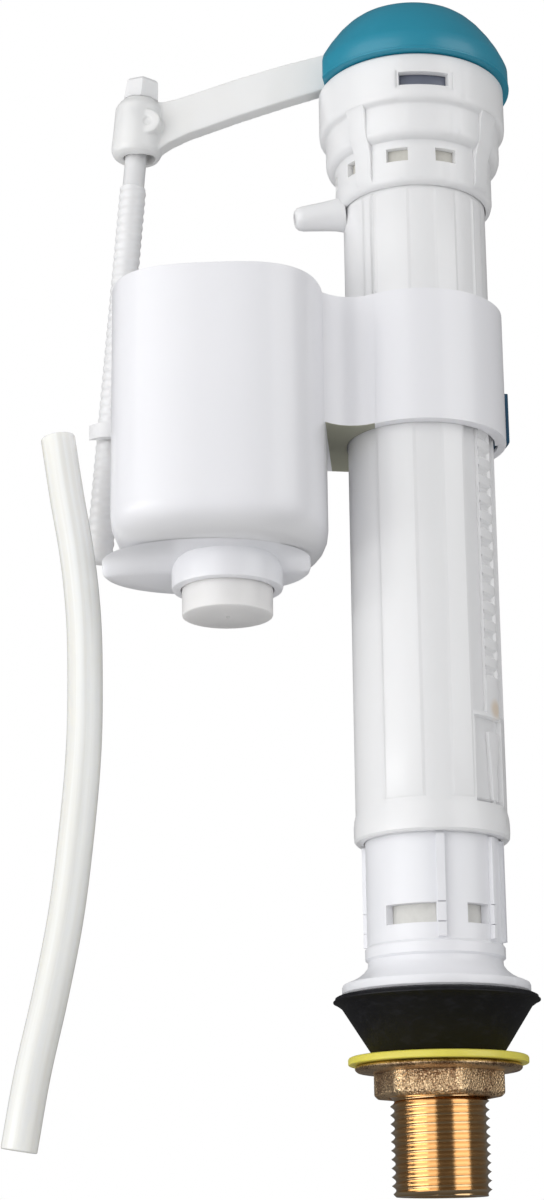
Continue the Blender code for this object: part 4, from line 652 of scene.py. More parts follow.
# Riser
# The long white tube between base and head, with a rounded foot ring, raised bands, guide ribs, a
# plain channel for the clip and a toothed rack beside it. Below the rack are a recess with a wedge
# rib and the brownish spot of the mould's gate.
RISER_RADIUS = 16.55 * MM
RISER_BORE = 14.9 * MM
RISER_TOP = 190.7 * MM
FOOT_RADIUS = 17.0 * MM
RACK_BOTTOM = 59.3 * MM
RACK_TOP = 149.3 * MM
CHANNEL_DEPTH = 0.85 * MM
TOOTH_PITCH = 4.2 * MM
TOOTH_GAP = 2.2 * MM
SKIRT_BOTTOM = 181.9 * MM
riser_bm = spun((
    (RISER_BORE, RISER_BOTTOM), (FOOT_RADIUS - 0.5 * MM, RISER_BOTTOM),
    (FOOT_RADIUS - 0.1 * MM, RISER_BOTTOM + 0.5 * MM), (FOOT_RADIUS, RISER_BOTTOM + 1.6 * MM),
    (FOOT_RADIUS, RISER_BOTTOM + 3.4 * MM), (FOOT_RADIUS - 0.15 * MM, RISER_BOTTOM + 4.9 * MM),
    (RISER_RADIUS, RISER_BOTTOM + 6.2 * MM), (RISER_RADIUS, RISER_TOP - 0.1 * MM),
    (RISER_RADIUS - 0.1 * MM, RISER_TOP), (RISER_BORE, RISER_TOP)))
PANEL_BOTTOM = 39.5 * MM
LEDGE_BOTTOM = 58.5 * MM
WEDGE_TOP = 55.2 * MM
for azimuths in ((-36, -4), (16, 35)):
    stand_out(riser_bm, azimuths, (40.2 * MM, SKIRT_BOTTOM - 0.4 * MM), 0.22 * MM, 0.5 * MM)
for azimuths in ((35.6, 50), (68, 85)):
    stand_out(riser_bm, azimuths, (RACK_BOTTOM, RACK_TOP), -CHANNEL_DEPTH, 0.05 * MM)
stand_out(riser_bm, (36.5, 72), (PANEL_BOTTOM, LEDGE_BOTTOM), -1.1 * MM, 0.3 * MM)
stand_out(riser_bm, (90.5, 119.5), (RACK_BOTTOM, RACK_TOP), -CHANNEL_DEPTH, 0.05 * MM)
height = RACK_BOTTOM + TOOTH_PITCH
while height + TOOTH_GAP < RACK_TOP:
    stand_out(riser_bm, (50.1, 67.9), (height, height + TOOTH_GAP), -0.55 * MM, 0.6 * MM)
    height += TOOTH_PITCH
for azimuths in ((-114, -106), (-45.5, -31), (52, 67), (114, 122), (176, 184)):
    stand_out(riser_bm, azimuths, (156.4 * MM, SKIRT_BOTTOM - 0.4 * MM), 0.3 * MM, 0.7 * MM)
warm_white = moulding("warm white moulding", 0.26, 0.22)
GATE_SPOT = Vector((14.7, -7.6, 60.6)) * MM
from_gate = warm_white.node("ShaderNodeVectorMath", {"operation": "DISTANCE"}, {
    0: warm_white.place(), 1: GATE_SPOT}, "Value")
stain = 1 - from_gate.rise(0.8 * MM, 3.0 * MM)
warm_white.set("Base Color", warm_white.mix(
    stain * 0.7, flow_marks(warm_white, colour(243, 243, 244), colour(239, 239, 240)),
    colour(226, 204, 176)))
riser = piece("riser_moulding", riser_bm, warm_white, "valve_body", "white_plastic", "riser_tube")
soften(riser, 0.12 * MM, 2, 30)


def curved_slab(rows):
    """A slab bent round the centreline. A row gives its azimuths, its radii and its height."""
    bm = bmesh.new()
    rings = []
    for (left, right), (low, high), height in rows:
        turns = [left + (right - left) * i / 8 for i in range(9)]
        points = [from_azimuth(turn, high, height) for turn in turns]
        points += [from_azimuth(turn, low, height) for turn in reversed(turns)]
        verts = [bm.verts.new(point) for point in points]
        rings.append([bm.edges.new(pair) for pair in zip(verts, verts[1:] + verts[:1])])
    for lower, upper in zip(rings, rings[1:]):
        bmesh.ops.bridge_loops(bm, edges=lower + upper)
    for ring in (rings[0], rings[-1]):
        bmesh.ops.contextual_create(bm, geom=ring)
    bmesh.ops.recalc_face_normals(bm, faces=bm.faces)
    return bm


wedge_radii = (RISER_BORE + 0.3 * MM, RISER_RADIUS - 0.15 * MM)
wedge = piece("rack_wedge", curved_slab((
    ((55.5, 58.0), wedge_radii, PANEL_BOTTOM - 0.4 * MM),
    ((51.5, 67.0), wedge_radii, WEDGE_TOP))), warm_white, "valve_body", "white_plastic")
soften(wedge, 0.3 * MM, 3)

# Head
# The white moulding on top of the riser: a windowed skirt with a grey sheet behind it, a belt round the
# valve seat and a wider crown under the cap, with broad ribs and a nozzle for the refill hose. The
# sheet's grey is painted shade for the inside of the windows.
SKIRT_RADIUS = 18.3 * MM
SKIRT_BORE = 16.85 * MM
SKIRT_TOP = 192.7 * MM
BELT_RADIUS = 20.4 * MM
BELT_TOP = 201.2 * MM
CROWN_RADIUS = 21.9 * MM
CROWN_TOP = 212.7 * MM
CROWN_BORE = 20.0 * MM
head_bm = spun((
    (SKIRT_BORE, SKIRT_BOTTOM), (SKIRT_RADIUS - 0.9 * MM, SKIRT_BOTTOM + 0.2 * MM),
    (SKIRT_RADIUS - 0.25 * MM, SKIRT_BOTTOM + 0.9 * MM),
    (SKIRT_RADIUS, SKIRT_BOTTOM + 1.9 * MM), (SKIRT_RADIUS, SKIRT_TOP - 0.4 * MM),
    (SKIRT_RADIUS + 0.15 * MM, SKIRT_TOP - 0.1 * MM),
    (SKIRT_RADIUS + 0.6 * MM, SKIRT_TOP + 0.1 * MM),
    (BELT_RADIUS - 0.9 * MM, SKIRT_TOP + 0.5 * MM), (BELT_RADIUS - 0.3 * MM, SKIRT_TOP + 1.2 * MM),
    (BELT_RADIUS - 0.05 * MM, SKIRT_TOP + 2.0 * MM), (BELT_RADIUS, SKIRT_TOP + 2.8 * MM),
    (BELT_RADIUS, BELT_TOP - 0.7 * MM), (BELT_RADIUS + 0.15 * MM, BELT_TOP - 0.25 * MM),
    (BELT_RADIUS + 0.5 * MM, BELT_TOP), (CROWN_RADIUS - 0.5 * MM, BELT_TOP + 0.3 * MM),
    (CROWN_RADIUS - 0.1 * MM, BELT_TOP + 0.9 * MM), (CROWN_RADIUS, BELT_TOP + 1.7 * MM),
    (CROWN_RADIUS, CROWN_TOP - 0.4 * MM),
    (CROWN_RADIUS - 0.4 * MM, CROWN_TOP), (CROWN_BORE, CROWN_TOP), (CROWN_BORE, BELT_TOP),
    (18.4 * MM, BELT_TOP), (18.4 * MM, 193.0 * MM), (8.3 * MM, 193.0 * MM),
    (8.3 * MM, 191.0 * MM), (SKIRT_BORE, 191.0 * MM)))
for k in range(10):
    middle = -11 + 36 * k
    if middle % 180 != 61:
        pierce(head_bm, (middle - 8, middle + 8), (187.4 * MM, 190.7 * MM))
for turn in (0, 180):
    stand_out(head_bm, (-9 + turn, 27 + turn), (203.9 * MM, 208.8 * MM), -0.15 * MM, 0.4 * MM)
    pierce(head_bm, (-7 + turn, 24 + turn), (204.7 * MM, 208.0 * MM))
ivory = moulded("ivory moulding", colour(244, 244, 245), colour(240, 240, 241), 0.28, 0.3)
head = piece("head_moulding", head_bm, ivory, "valve_body", "ivory_plastic", "head_body")
soften(head, 0.45 * MM, 3)
for turn in (0, 180):
    for azimuths in ((-44.5, -30.5), (50, 66)):
        span = (azimuths[0] + turn, azimuths[1] + turn)
        rib = piece("head_rib", curved_slab((
            (span, (17.4 * MM, SKIRT_RADIUS - 0.5 * MM), SKIRT_BOTTOM + 0.6 * MM),
            (span, (17.4 * MM, SKIRT_RADIUS + 0.5 * MM), SKIRT_BOTTOM + 2.6 * MM),
            (span, (17.4 * MM, SKIRT_RADIUS + 0.7 * MM), SKIRT_TOP - 2.5 * MM),
            (span, (17.4 * MM, SKIRT_RADIUS + 1.3 * MM), SKIRT_TOP - 0.2 * MM),
            (span, (18.8 * MM, BELT_RADIUS + 0.2 * MM), SKIRT_TOP + 2.0 * MM),
            (span, (18.8 * MM, BELT_RADIUS + 0.6 * MM), BELT_TOP - 1.5 * MM),
            (span, (20.2 * MM, CROWN_RADIUS - 0.2 * MM), BELT_TOP + 0.6 * MM))), ivory,
            "valve_body", "ivory_plastic")
        soften(rib, 0.8 * MM, 3, 25)

# Painted shade: the sheet behind the skirt's windows is grey-beige to stand for the shaded riser seen
# through them.
shade_sheet = Finish("window lining", {"Roughness": 0.6})
shade_sheet.set("Base Color", shade_sheet.mix(shade_sheet.cloudy(900), colour(196, 194, 186), colour(214, 212, 205)))
piece("window_shade_sheet", spun((
    (RISER_RADIUS + 0.07 * MM, 186.6 * MM), (SKIRT_BORE - 0.05 * MM, 186.6 * MM),
    (SKIRT_BORE - 0.05 * MM, 190.9 * MM), (RISER_RADIUS + 0.07 * MM, 190.9 * MM))), shade_sheet,
    "valve_body", "white_plastic")

NOZZLE_DROOP = 9
NOZZLE_AZIMUTH = -80
nozzle_bm = spun((
    (1.3 * MM, -0.4 * MM), (4.2 * MM, -0.4 * MM), (3.7 * MM, 1.5 * MM), (3.4 * MM, 4.0 * MM),
    (3.0 * MM, 8.0 * MM), (2.9 * MM, 9.2 * MM), (2.6 * MM, 10.3 * MM), (2.0 * MM, 10.9 * MM),
    (1.3 * MM, 11.1 * MM)), 40)
nozzle_out = (from_azimuth(NOZZLE_AZIMUTH) * math.cos(math.radians(NOZZLE_DROOP))
              - Vector((0, 0, math.sin(math.radians(NOZZLE_DROOP)))))
bmesh.ops.transform(nozzle_bm, verts=nozzle_bm.verts, matrix=(
    Matrix.Translation(from_azimuth(NOZZLE_AZIMUTH, 17.3 * MM, 181.6 * MM))
    @ nozzle_out.to_track_quat("Z", "Y").to_matrix().to_4x4()))
piece("refill_nozzle", nozzle_bm, ivory, "valve_body", "ivory_plastic")

# Cap
# The teal lid that screws the valve's inner parts down. It is a thick shaded dome with a plain
# rim, cut flat and slotted where the lever comes out.
CAP_BOTTOM = 213.0 * MM
CAP_RIM_RADIUS = 23.3 * MM
CAP_SHOULDER = 218.5 * MM
CAP_TOP = 232.2 * MM
CAP_SKIRT = 209.1 * MM
CAP_INSIDE = 228.3 * MM
CAP_PLUG_RADIUS = 19.7 * MM
CAP_PLUG_BORE = 18.2 * MM
CAP_FLAT = 19.4 * MM
CAP_SLOT_END = 14.2 * MM
CUT_BOTTOM = 208.0 * MM
CUT_REACH = 30.0 * MM
LEVER_AZIMUTH = -95.2
LEVER_TURN = Matrix.Rotation(math.radians(LEVER_AZIMUTH - 90), 4, "Z")


def as_object(bm):
    mesh = bpy.data.meshes.new("blank")
    bm.to_mesh(mesh)
    bm.free()
    made = bpy.data.objects.new("blank", mesh)
    bpy.context.collection.objects.link(made)
    return made


def shaped(blank, tool, operation):
    """The bmesh of a blank cut by a tool or joined to it; both objects are used up."""
    change = blank.modifiers.new("shape", "BOOLEAN")
    change.operation = operation
    change.object = tool
    depsgraph = bpy.context.evaluated_depsgraph_get()
    result = bmesh.new()
    result.from_object(blank, depsgraph)
    bpy.data.objects.remove(blank)
    bpy.data.objects.remove(tool)
    return result


def joined(bm, *others):
    for other in others:
        bm = shaped(as_object(bm), as_object(other), "UNION")
    return bm


def cut_by(bm, *tools):
    for tool in tools:
        bm = shaped(as_object(bm), as_object(tool), "DIFFERENCE")
    return bm


def block(low, high, place):
    """A plain block between two corners, in a place of its own."""
    bm = bmesh.new()
    bmesh.ops.create_cube(bm, size=1)
    low, high = Vector(low), Vector(high)
    bmesh.ops.scale(bm, vec=high - low, verts=bm.verts)
    bmesh.ops.translate(bm, vec=(low + high) / 2, verts=bm.verts)
    bmesh.ops.transform(bm, matrix=place, verts=bm.verts)
    return bm


cap_bm = spun((
    (CAP_PLUG_RADIUS, CAP_SKIRT), (CAP_PLUG_RADIUS, CAP_BOTTOM), (CAP_RIM_RADIUS - 0.2 * MM, CAP_BOTTOM),
    (CAP_RIM_RADIUS + 0.05 * MM, CAP_BOTTOM + 0.15 * MM),
    (CAP_RIM_RADIUS + 0.1 * MM, CAP_BOTTOM + 0.4 * MM),
    (CAP_RIM_RADIUS + 0.05 * MM, CAP_BOTTOM + 0.6 * MM),
    (CAP_RIM_RADIUS - 0.15 * MM, CAP_BOTTOM + 0.75 * MM),
    (CAP_RIM_RADIUS - 0.05 * MM, CAP_BOTTOM + 1.3 * MM),
    (CAP_RIM_RADIUS - 0.1 * MM, CAP_SHOULDER - 1.0 * MM),
    (CAP_RIM_RADIUS - 0.5 * MM, CAP_SHOULDER), (21.6 * MM, 221.1 * MM),
    (20.0 * MM, 223.8 * MM), (18.0 * MM, 226.6 * MM), (16.2 * MM, 228.6 * MM),
    (14.9 * MM, 229.7 * MM), (13.0 * MM, 230.8 * MM), (9.6 * MM, 231.7 * MM),
    (4.6 * MM, CAP_TOP - 0.1 * MM), (0, CAP_TOP), (0, CAP_INSIDE),
    (13.2 * MM, CAP_INSIDE), (CAP_PLUG_RADIUS, 217.8 * MM), (CAP_PLUG_BORE, CAP_BOTTOM),
    (CAP_PLUG_BORE, CAP_SKIRT)))
cap_bm = cut_by(
    cap_bm, block((CAP_FLAT, -14 * MM, CUT_BOTTOM), (CUT_REACH, 14 * MM, CAP_TOP), LEVER_TURN),
    block((CAP_SLOT_END, -2.5 * MM, CUT_BOTTOM), (CUT_REACH, 2.5 * MM, 234 * MM), LEVER_TURN))
teal = Finish("teal moulding", {"Coat Weight": 0.25, "Coat Roughness": 0.16})
sweep = teal.cloudy(30, 2, (1, 1, 0.6), 0.5)
teal.set("Base Color", teal.mix(sweep, colour(20, 132, 158), colour(32, 146, 174)))
teal.set("Roughness", 0.34 + teal.cloudy(400, 3) * 0.12)
teal.bump(teal.cloudy(1500, 3) + sweep, 0.02 * MM, 0.6)
cap = piece("teal_cap", cap_bm, teal, "valve_body", "teal_plastic", "head_cap")
soften(cap, 0.25 * MM)

# Float chamber
# The open cup that holds the float, moulded in one with the collar that slides on the riser. Its
# wall runs into the collar's through a smooth hollow, and its lower edge is well rounded.
CHAMBER_X = -44.8 * MM
CHAMBER_Y = -12.9 * MM
CHAMBER_HALF_X = 23.8 * MM
CHAMBER_HALF_Y = 24.8 * MM
CHAMBER_BOTTOM = 94.7 * MM
CHAMBER_TOP = 155.3 * MM
CHAMBER_EDGE = 8.0 * MM
CHAMBER_WALL = 1.7 * MM
COLLAR_BOTTOM = 124.3 * MM
COLLAR_RADIUS = 19.5 * MM
COLLAR_BORE = 16.9 * MM


def rounded_square(bm, half_x, half_y, squareness, steps, centre):
    """A circle of edges pressed toward a rectangle, as a moulded cup is."""
    verts = bmesh.ops.create_circle(bm, segments=steps, radius=1)["verts"]
    for vert in verts:
        size = (abs(vert.co.x) ** squareness + abs(vert.co.y) ** squareness) ** (-1 / squareness)
        vert.co.xy = (vert.co.x * half_x * size, vert.co.y * half_y * size)
    bmesh.ops.translate(bm, vec=centre, verts=verts)
    return list({edge for vert in verts for edge in vert.link_edges})


def stacked(levels, squareness, centre, steps=144):
    """A closed cup-shaped body from (half x, half y, height) levels."""
    bm = bmesh.new()
    loops = [rounded_square(bm, half_x, half_y, squareness, steps, (*centre, height))
             for half_x, half_y, height in levels]
    for low, high in zip(loops, loops[1:]):
        bmesh.ops.bridge_loops(bm, edges=low + high)
    for loop in (loops[0], loops[-1]):
        bmesh.ops.contextual_create(bm, geom=loop)
    bmesh.ops.recalc_face_normals(bm, faces=bm.faces)
    return bm


def slab(outline, bottom, top):
    """An upright body with an outline in X and Y."""
    bm = bmesh.new()
    face = bm.faces.new([bm.verts.new((x, y, bottom)) for x, y in outline])
    grown = bmesh.ops.extrude_face_region(bm, geom=[face])["geom"]
    verts = [part for part in grown if isinstance(part, bmesh.types.BMVert)]
    bmesh.ops.translate(bm, vec=(0, 0, top - bottom), verts=verts)
    bmesh.ops.recalc_face_normals(bm, faces=bm.faces)
    return bm


edge_levels = [(CHAMBER_HALF_X - CHAMBER_EDGE * (1 - math.sin(math.radians(a))),
                CHAMBER_HALF_Y - CHAMBER_EDGE * (1 - math.sin(math.radians(a))),
                CHAMBER_BOTTOM + CHAMBER_EDGE * (1 - math.cos(math.radians(a))))
               for a in range(0, 91, 15)]
cup_bm = stacked(edge_levels + [(CHAMBER_HALF_X, CHAMBER_HALF_Y, CHAMBER_TOP)], 3.0,
                 (CHAMBER_X, CHAMBER_Y))


def solid_round(radius, bottom, top, centre=(0, 0), steps=144):
    bm = bmesh.new()
    bmesh.ops.create_cone(bm, cap_ends=True, segments=steps, radius1=radius, radius2=radius,
                          depth=top - bottom,
                          matrix=Matrix.Translation((*centre, (top + bottom) / 2)))
    return bm


def hollow_arc(start, end, control, steps=10):
    """Points along a smooth bend from start to end that is drawn toward a control point."""
    start, end, control = Vector(start), Vector(end), Vector(control)
    return [(1 - t) ** 2 * start + 2 * t * (1 - t) * control + t ** 2 * end
            for t in (i / steps for i in range(steps + 1))]


front_hollow = hollow_arc((-28.1 * MM, -30.9 * MM), (-9.72 * MM, -16.91 * MM),
                          (-20.13 * MM, -10.93 * MM))
back_hollow = hollow_arc((-9.7 * MM, 16.75 * MM), (-36.5 * MM, 10.9 * MM), (-21 * MM, 14.9 * MM))
bridge = [tuple(point) for point in front_hollow] + [(0, 0)] + [
    tuple(point) for point in back_hollow] + [(-42.4 * MM, 0)]


def arc_block(radii, azimuths, heights, steps=12):
    """A curved block about the centreline: a rectangle spun through part of a turn."""
    bm = bmesh.new()
    corners = ((radii[0], heights[0]), (radii[1], heights[0]), (radii[1], heights[1]),
               (radii[0], heights[1]))
    face = bm.faces.new([bm.verts.new(from_azimuth(azimuths[0], *corner)) for corner in corners])
    bmesh.ops.spin(bm, geom=[face, *face.edges, *face.verts], cent=(0, 0, 0), axis=(0, 0, 1),
                   angle=math.radians(azimuths[1] - azimuths[0]), steps=steps)
    bmesh.ops.recalc_face_normals(bm, faces=bm.faces)
    return bm


cavity_bm = stacked([(CHAMBER_HALF_X - inset, CHAMBER_HALF_Y - inset, height) for inset, height in (
    (6.4 * MM, 96.6 * MM), (4.4 * MM, 97.6 * MM), (2.8 * MM, 99.2 * MM), (1.9 * MM, 101.0 * MM),
    (CHAMBER_WALL, 103.0 * MM), (CHAMBER_WALL, 156.3 * MM))], 3.0, (CHAMBER_X, CHAMBER_Y))
DRAIN_X = -43.3 * MM
DRAIN_Y = -13.0 * MM
DRAIN_BORE = 10.35 * MM
CLIP_AZIMUTH = 105
CLIP_BOTTOM = 125.5 * MM
CLIP_TOP = 137.5 * MM
ARM_BOTTOM = 129.9 * MM
ARM_TOP = 133.5 * MM
ARM_WIDTH = 6.0 * MM
ROD_AT_ARM = Vector((-72.3 * MM, 6.6 * MM))
arm_run = ROD_AT_ARM - Vector((CHAMBER_X, CHAMBER_Y))
ARM_TURN = Matrix.Translation((CHAMBER_X, CHAMBER_Y, 0)) @ Matrix.Rotation(
    math.atan2(arm_run.y, arm_run.x), 4, "Z")
chamber_bm = joined(
    cup_bm, solid_round(COLLAR_RADIUS, COLLAR_BOTTOM, CHAMBER_TOP),
    slab(bridge, COLLAR_BOTTOM, CHAMBER_TOP))
chamber_bm = cut_by(
    chamber_bm, cavity_bm, solid_round(COLLAR_BORE, 90 * MM, 156.3 * MM),
    solid_round(DRAIN_BORE, 90 * MM, 98 * MM, (DRAIN_X, DRAIN_Y), 96),
    arc_block((COLLAR_BORE - MM, COLLAR_RADIUS + MM), (CLIP_AZIMUTH - 10.1, CLIP_AZIMUTH + 10.1),
              (CLIP_BOTTOM - 0.35 * MM, CLIP_TOP + 0.35 * MM)),
    arc_block((COLLAR_BORE - MM, COLLAR_BORE + 0.8 * MM), (CLIP_AZIMUTH - 13.1, CLIP_AZIMUTH + 13.1),
              (COLLAR_BOTTOM - MM, CLIP_TOP + 1.35 * MM)),
    block((12 * MM, -4.2 * MM, ARM_BOTTOM - 3 * MM), (49 * MM, 4.2 * MM, 157 * MM), ARM_TURN))
chamber_white = moulding("chamber moulding", 0.28, 0.12)
# Painted shade: the flat underside of the bridge between the chamber and the collar is tinted olive grey,
# as the shade in that gap would make it.
painted_underside_shade = chamber_white.along(2).within(
    COLLAR_BOTTOM - 0.2 * MM, COLLAR_BOTTOM + 0.1 * MM, 0.05 * MM) * chamber_white.along(0).within(
    CHAMBER_X + CHAMBER_HALF_X + 0.1 * MM, -10 * MM, 0.05 * MM)
# Painted shade: the chamber's colour darkens toward its rounded lower edge, where the surface turns to
# face down.
painted_lower_shade = 1 - chamber_white.along(2).rise(CHAMBER_BOTTOM + 1.0 * MM, CHAMBER_BOTTOM + 6.0 * MM)
chamber_white.set("Base Color", chamber_white.mix(
    painted_underside_shade, chamber_white.mix(painted_lower_shade, colour(241, 241, 245), colour(226, 226, 228)),
    colour(158, 158, 140)))
chamber = piece("chamber_moulding", chamber_bm, chamber_white, "chamber", "white_plastic",
                "float_chamber")
soften(chamber, 0.35 * MM, 3)

# Drain plate
# The stepped white floor piece under the chamber. Its front slopes up into the chamber's floor,
# and a deep ring on it guides the drain cup.
PLATE_X = -48.0 * MM
PLATE_HALF_X = 23.1 * MM
PLATE_BACK = 17.0 * MM
PLATE_TOP = 94.66 * MM
PLATE_BOTTOM = 91.6 * MM
RING_RADIUS = 12.3 * MM
RING_BOTTOM = 87.7 * MM


def drain_outline(bm, height, inset, front):
    """An oval loop of edges whose front half is shallower than its back half."""
    verts = bmesh.ops.create_circle(bm, segments=120, radius=1)["verts"]
    for vert in verts:
        depth = front if vert.co.y < 0 else PLATE_BACK
        vert.co = (PLATE_X + vert.co.x * (PLATE_HALF_X - inset),
                   DRAIN_Y + vert.co.y * (depth - inset), height)
    return list({edge for vert in verts for edge in vert.link_edges})


plate_bm = bmesh.new()
plate_loops = [drain_outline(plate_bm, height, inset, front) for height, inset, front in (
    (PLATE_BOTTOM, 1.3 * MM, 2.0 * MM), (PLATE_BOTTOM + 0.15 * MM, 0.7 * MM, 2.6 * MM),
    (PLATE_BOTTOM + 0.5 * MM, 0.25 * MM, 3.6 * MM), (PLATE_BOTTOM + 1.2 * MM, 0, 5.2 * MM),
    (PLATE_BOTTOM + 2.0 * MM, 0, 7.4 * MM), (PLATE_BOTTOM + 2.6 * MM, 0, 10.0 * MM),
    (PLATE_BOTTOM + 2.9 * MM, 0, 13.0 * MM), (PLATE_TOP, 0, 17.0 * MM))]
for low, high in zip(plate_loops, plate_loops[1:]):
    bmesh.ops.bridge_loops(plate_bm, edges=low + high)
for loop in (plate_loops[0], plate_loops[-1]):
    bmesh.ops.contextual_create(plate_bm, geom=loop)
bmesh.ops.recalc_face_normals(plate_bm, faces=plate_bm.faces)


def spun_solid(profile, steps=96, centre=(0, 0)):
    """A solid turned piece whose profile starts and ends on its own axis."""
    bm = spun(profile, steps, False)
    bmesh.ops.translate(bm, vec=(*centre, 0), verts=bm.verts)
    return bm


ring_bm = spun_solid((
    (0, RING_BOTTOM), (RING_RADIUS - 0.8 * MM, RING_BOTTOM),
    (RING_RADIUS - 0.2 * MM, RING_BOTTOM + 0.2 * MM), (RING_RADIUS, RING_BOTTOM + 0.8 * MM),
    (RING_RADIUS, PLATE_TOP - 0.4 * MM), (RING_RADIUS + 0.6 * MM, PLATE_TOP),
    (0, PLATE_TOP)), 96, (DRAIN_X, DRAIN_Y))
plate_bm = cut_by(joined(plate_bm, ring_bm),
                  solid_round(DRAIN_BORE, 86 * MM, 96 * MM, (DRAIN_X, DRAIN_Y), 96))
plate = piece("drain_floor", plate_bm, cool_white, "chamber", "white_plastic", "drain_plate")
soften(plate, 0.3 * MM)

# Drain cup
# A small milky cup that hangs in the drain by its flange. It lifts to shut the drain as the
# cistern fills, and is a little greyer than the plate round it.
CUP_RADIUS = 10.0 * MM
CUP_BOTTOM = 81.7 * MM
cup_white = moulded("milky moulding", colour(244, 242, 241), colour(236, 234, 233), 0.3, 0.35)
drain_cup_bm = spun((
    (0.4 * MM, CUP_BOTTOM), (CUP_RADIUS - 0.5 * MM, CUP_BOTTOM),
    (CUP_RADIUS - 0.1 * MM, CUP_BOTTOM + 0.15 * MM), (CUP_RADIUS, CUP_BOTTOM + 0.5 * MM),
    (CUP_RADIUS, 97 * MM), (CUP_RADIUS + 1.8 * MM, 97 * MM),
    (CUP_RADIUS + 1.8 * MM, 98 * MM), (CUP_RADIUS - 1.2 * MM, 98 * MM),
    (CUP_RADIUS - 1.2 * MM, CUP_BOTTOM + 2 * MM), (CUP_RADIUS - 2 * MM, CUP_BOTTOM + 1.2 * MM),
    (0.4 * MM, CUP_BOTTOM + 1.2 * MM)), 96)
bmesh.ops.translate(drain_cup_bm, vec=(DRAIN_X, DRAIN_Y, 0), verts=drain_cup_bm.verts)
soften(piece("drain_valve_cup", drain_cup_bm, cup_white, "drain", "milky_plastic", "drain_cup"),
       0.15 * MM)

# Lock clip
# The dark teal button in the collar's side. Pressed in, it frees the chamber to slide, and its lip
# keeps it behind the collar's wall. Fine grip ridges run across its face.
CLIP_FACE = 20.5 * MM
clip_bm = arc_block((COLLAR_BORE, CLIP_FACE), (CLIP_AZIMUTH - 9, CLIP_AZIMUTH + 9),
                    (CLIP_BOTTOM, CLIP_TOP))
lip_bm = arc_block((COLLAR_BORE - 0.05 * MM, COLLAR_BORE + 0.5 * MM),
                   (CLIP_AZIMUTH - 12, CLIP_AZIMUTH + 12), (CLIP_BOTTOM - 0.5 * MM, CLIP_TOP + MM), 17)
grooves = [arc_block((CLIP_FACE - 0.4 * MM, CLIP_FACE + MM), (CLIP_AZIMUTH - 7, CLIP_AZIMUTH + 7),
                     (CLIP_BOTTOM + height * MM, CLIP_BOTTOM + (height + 0.9) * MM))
           for height in (2.2, 4.4, 6.6, 8.8)]
navy = Finish("navy moulding", {"Coat Weight": 0.1, "Coat Roughness": 0.2})
navy.set("Base Color", navy.mix(navy.cloudy(200), colour(12, 66, 96), colour(22, 84, 116)))
navy.set("Roughness", 0.34 + navy.cloudy(400, 3) * 0.12)
clip = piece("lock_button", cut_by(joined(clip_bm, lip_bm), *grooves), navy, "clip",
             "teal_plastic", "lock_clip")
soften(clip, 0.3 * MM)

# Lever
# The white arm that carries the float's lift to the pilot. It is a bar with moulded hollows where
# it runs into a domed eye, and the eye has a round boss with a dimple over the swivel's stub.
LEVER_THICKNESS = 4.0 * MM
PIVOT_REACH = 10.0 * MM
PIVOT_HEIGHT = 220.6 * MM
EYE_REACH = 66.1 * MM
EYE_HEIGHT = 212.6 * MM
EYE_RADIUS = 6.0 * MM
EYE_SKIRT = 10.2 * MM
ROD_LEAN = 4.6
LEVER_BAR = (
    (-2.6, 217.4), (2.6, 217.4), (7.0, 217.6), (10.0, 216.4), (12.1, 217.0), (19.4, 216.3),
    (30.0, 213.9), (41.25, 211.0), (54.0, 207.3), (58.5, 205.4), (61.0, 203.8), (63.1, 202.6),
    (66.1, 202.6), (66.1, 216.4), (62.6, 216.6), (59.6, 216.4), (56.0, 217.0), (50.0, 218.6),
    (41.0, 221.0), (30.0, 223.5), (19.4, 225.4), (10.7, 224.75), (8.6, 224.55), (6.6, 223.0),
    (-2.6, 221.4))


def in_lever_plane(reach, height, aside=0.0):
    return LEVER_TURN @ Vector((reach, aside, height))


def rod_between(start, end, radius, steps=32):
    """A round bar between two points."""
    bm = bmesh.new()
    run = end - start
    bmesh.ops.create_cone(bm, cap_ends=True, segments=steps, radius1=radius, radius2=radius,
                          depth=run.length)
    bmesh.ops.transform(bm, verts=bm.verts, matrix=(
        Matrix.Translation((start + end) / 2) @ run.to_track_quat("Z", "Y").to_matrix().to_4x4()))
    return bm


def across_lever(reach, height, radius, half):
    return rod_between(in_lever_plane(reach, height, -half), in_lever_plane(reach, height, half),
                       radius)


def placed(bm, place):
    bmesh.ops.transform(bm, matrix=place, verts=bm.verts)
    bmesh.ops.recalc_face_normals(bm, faces=bm.faces)
    return bm


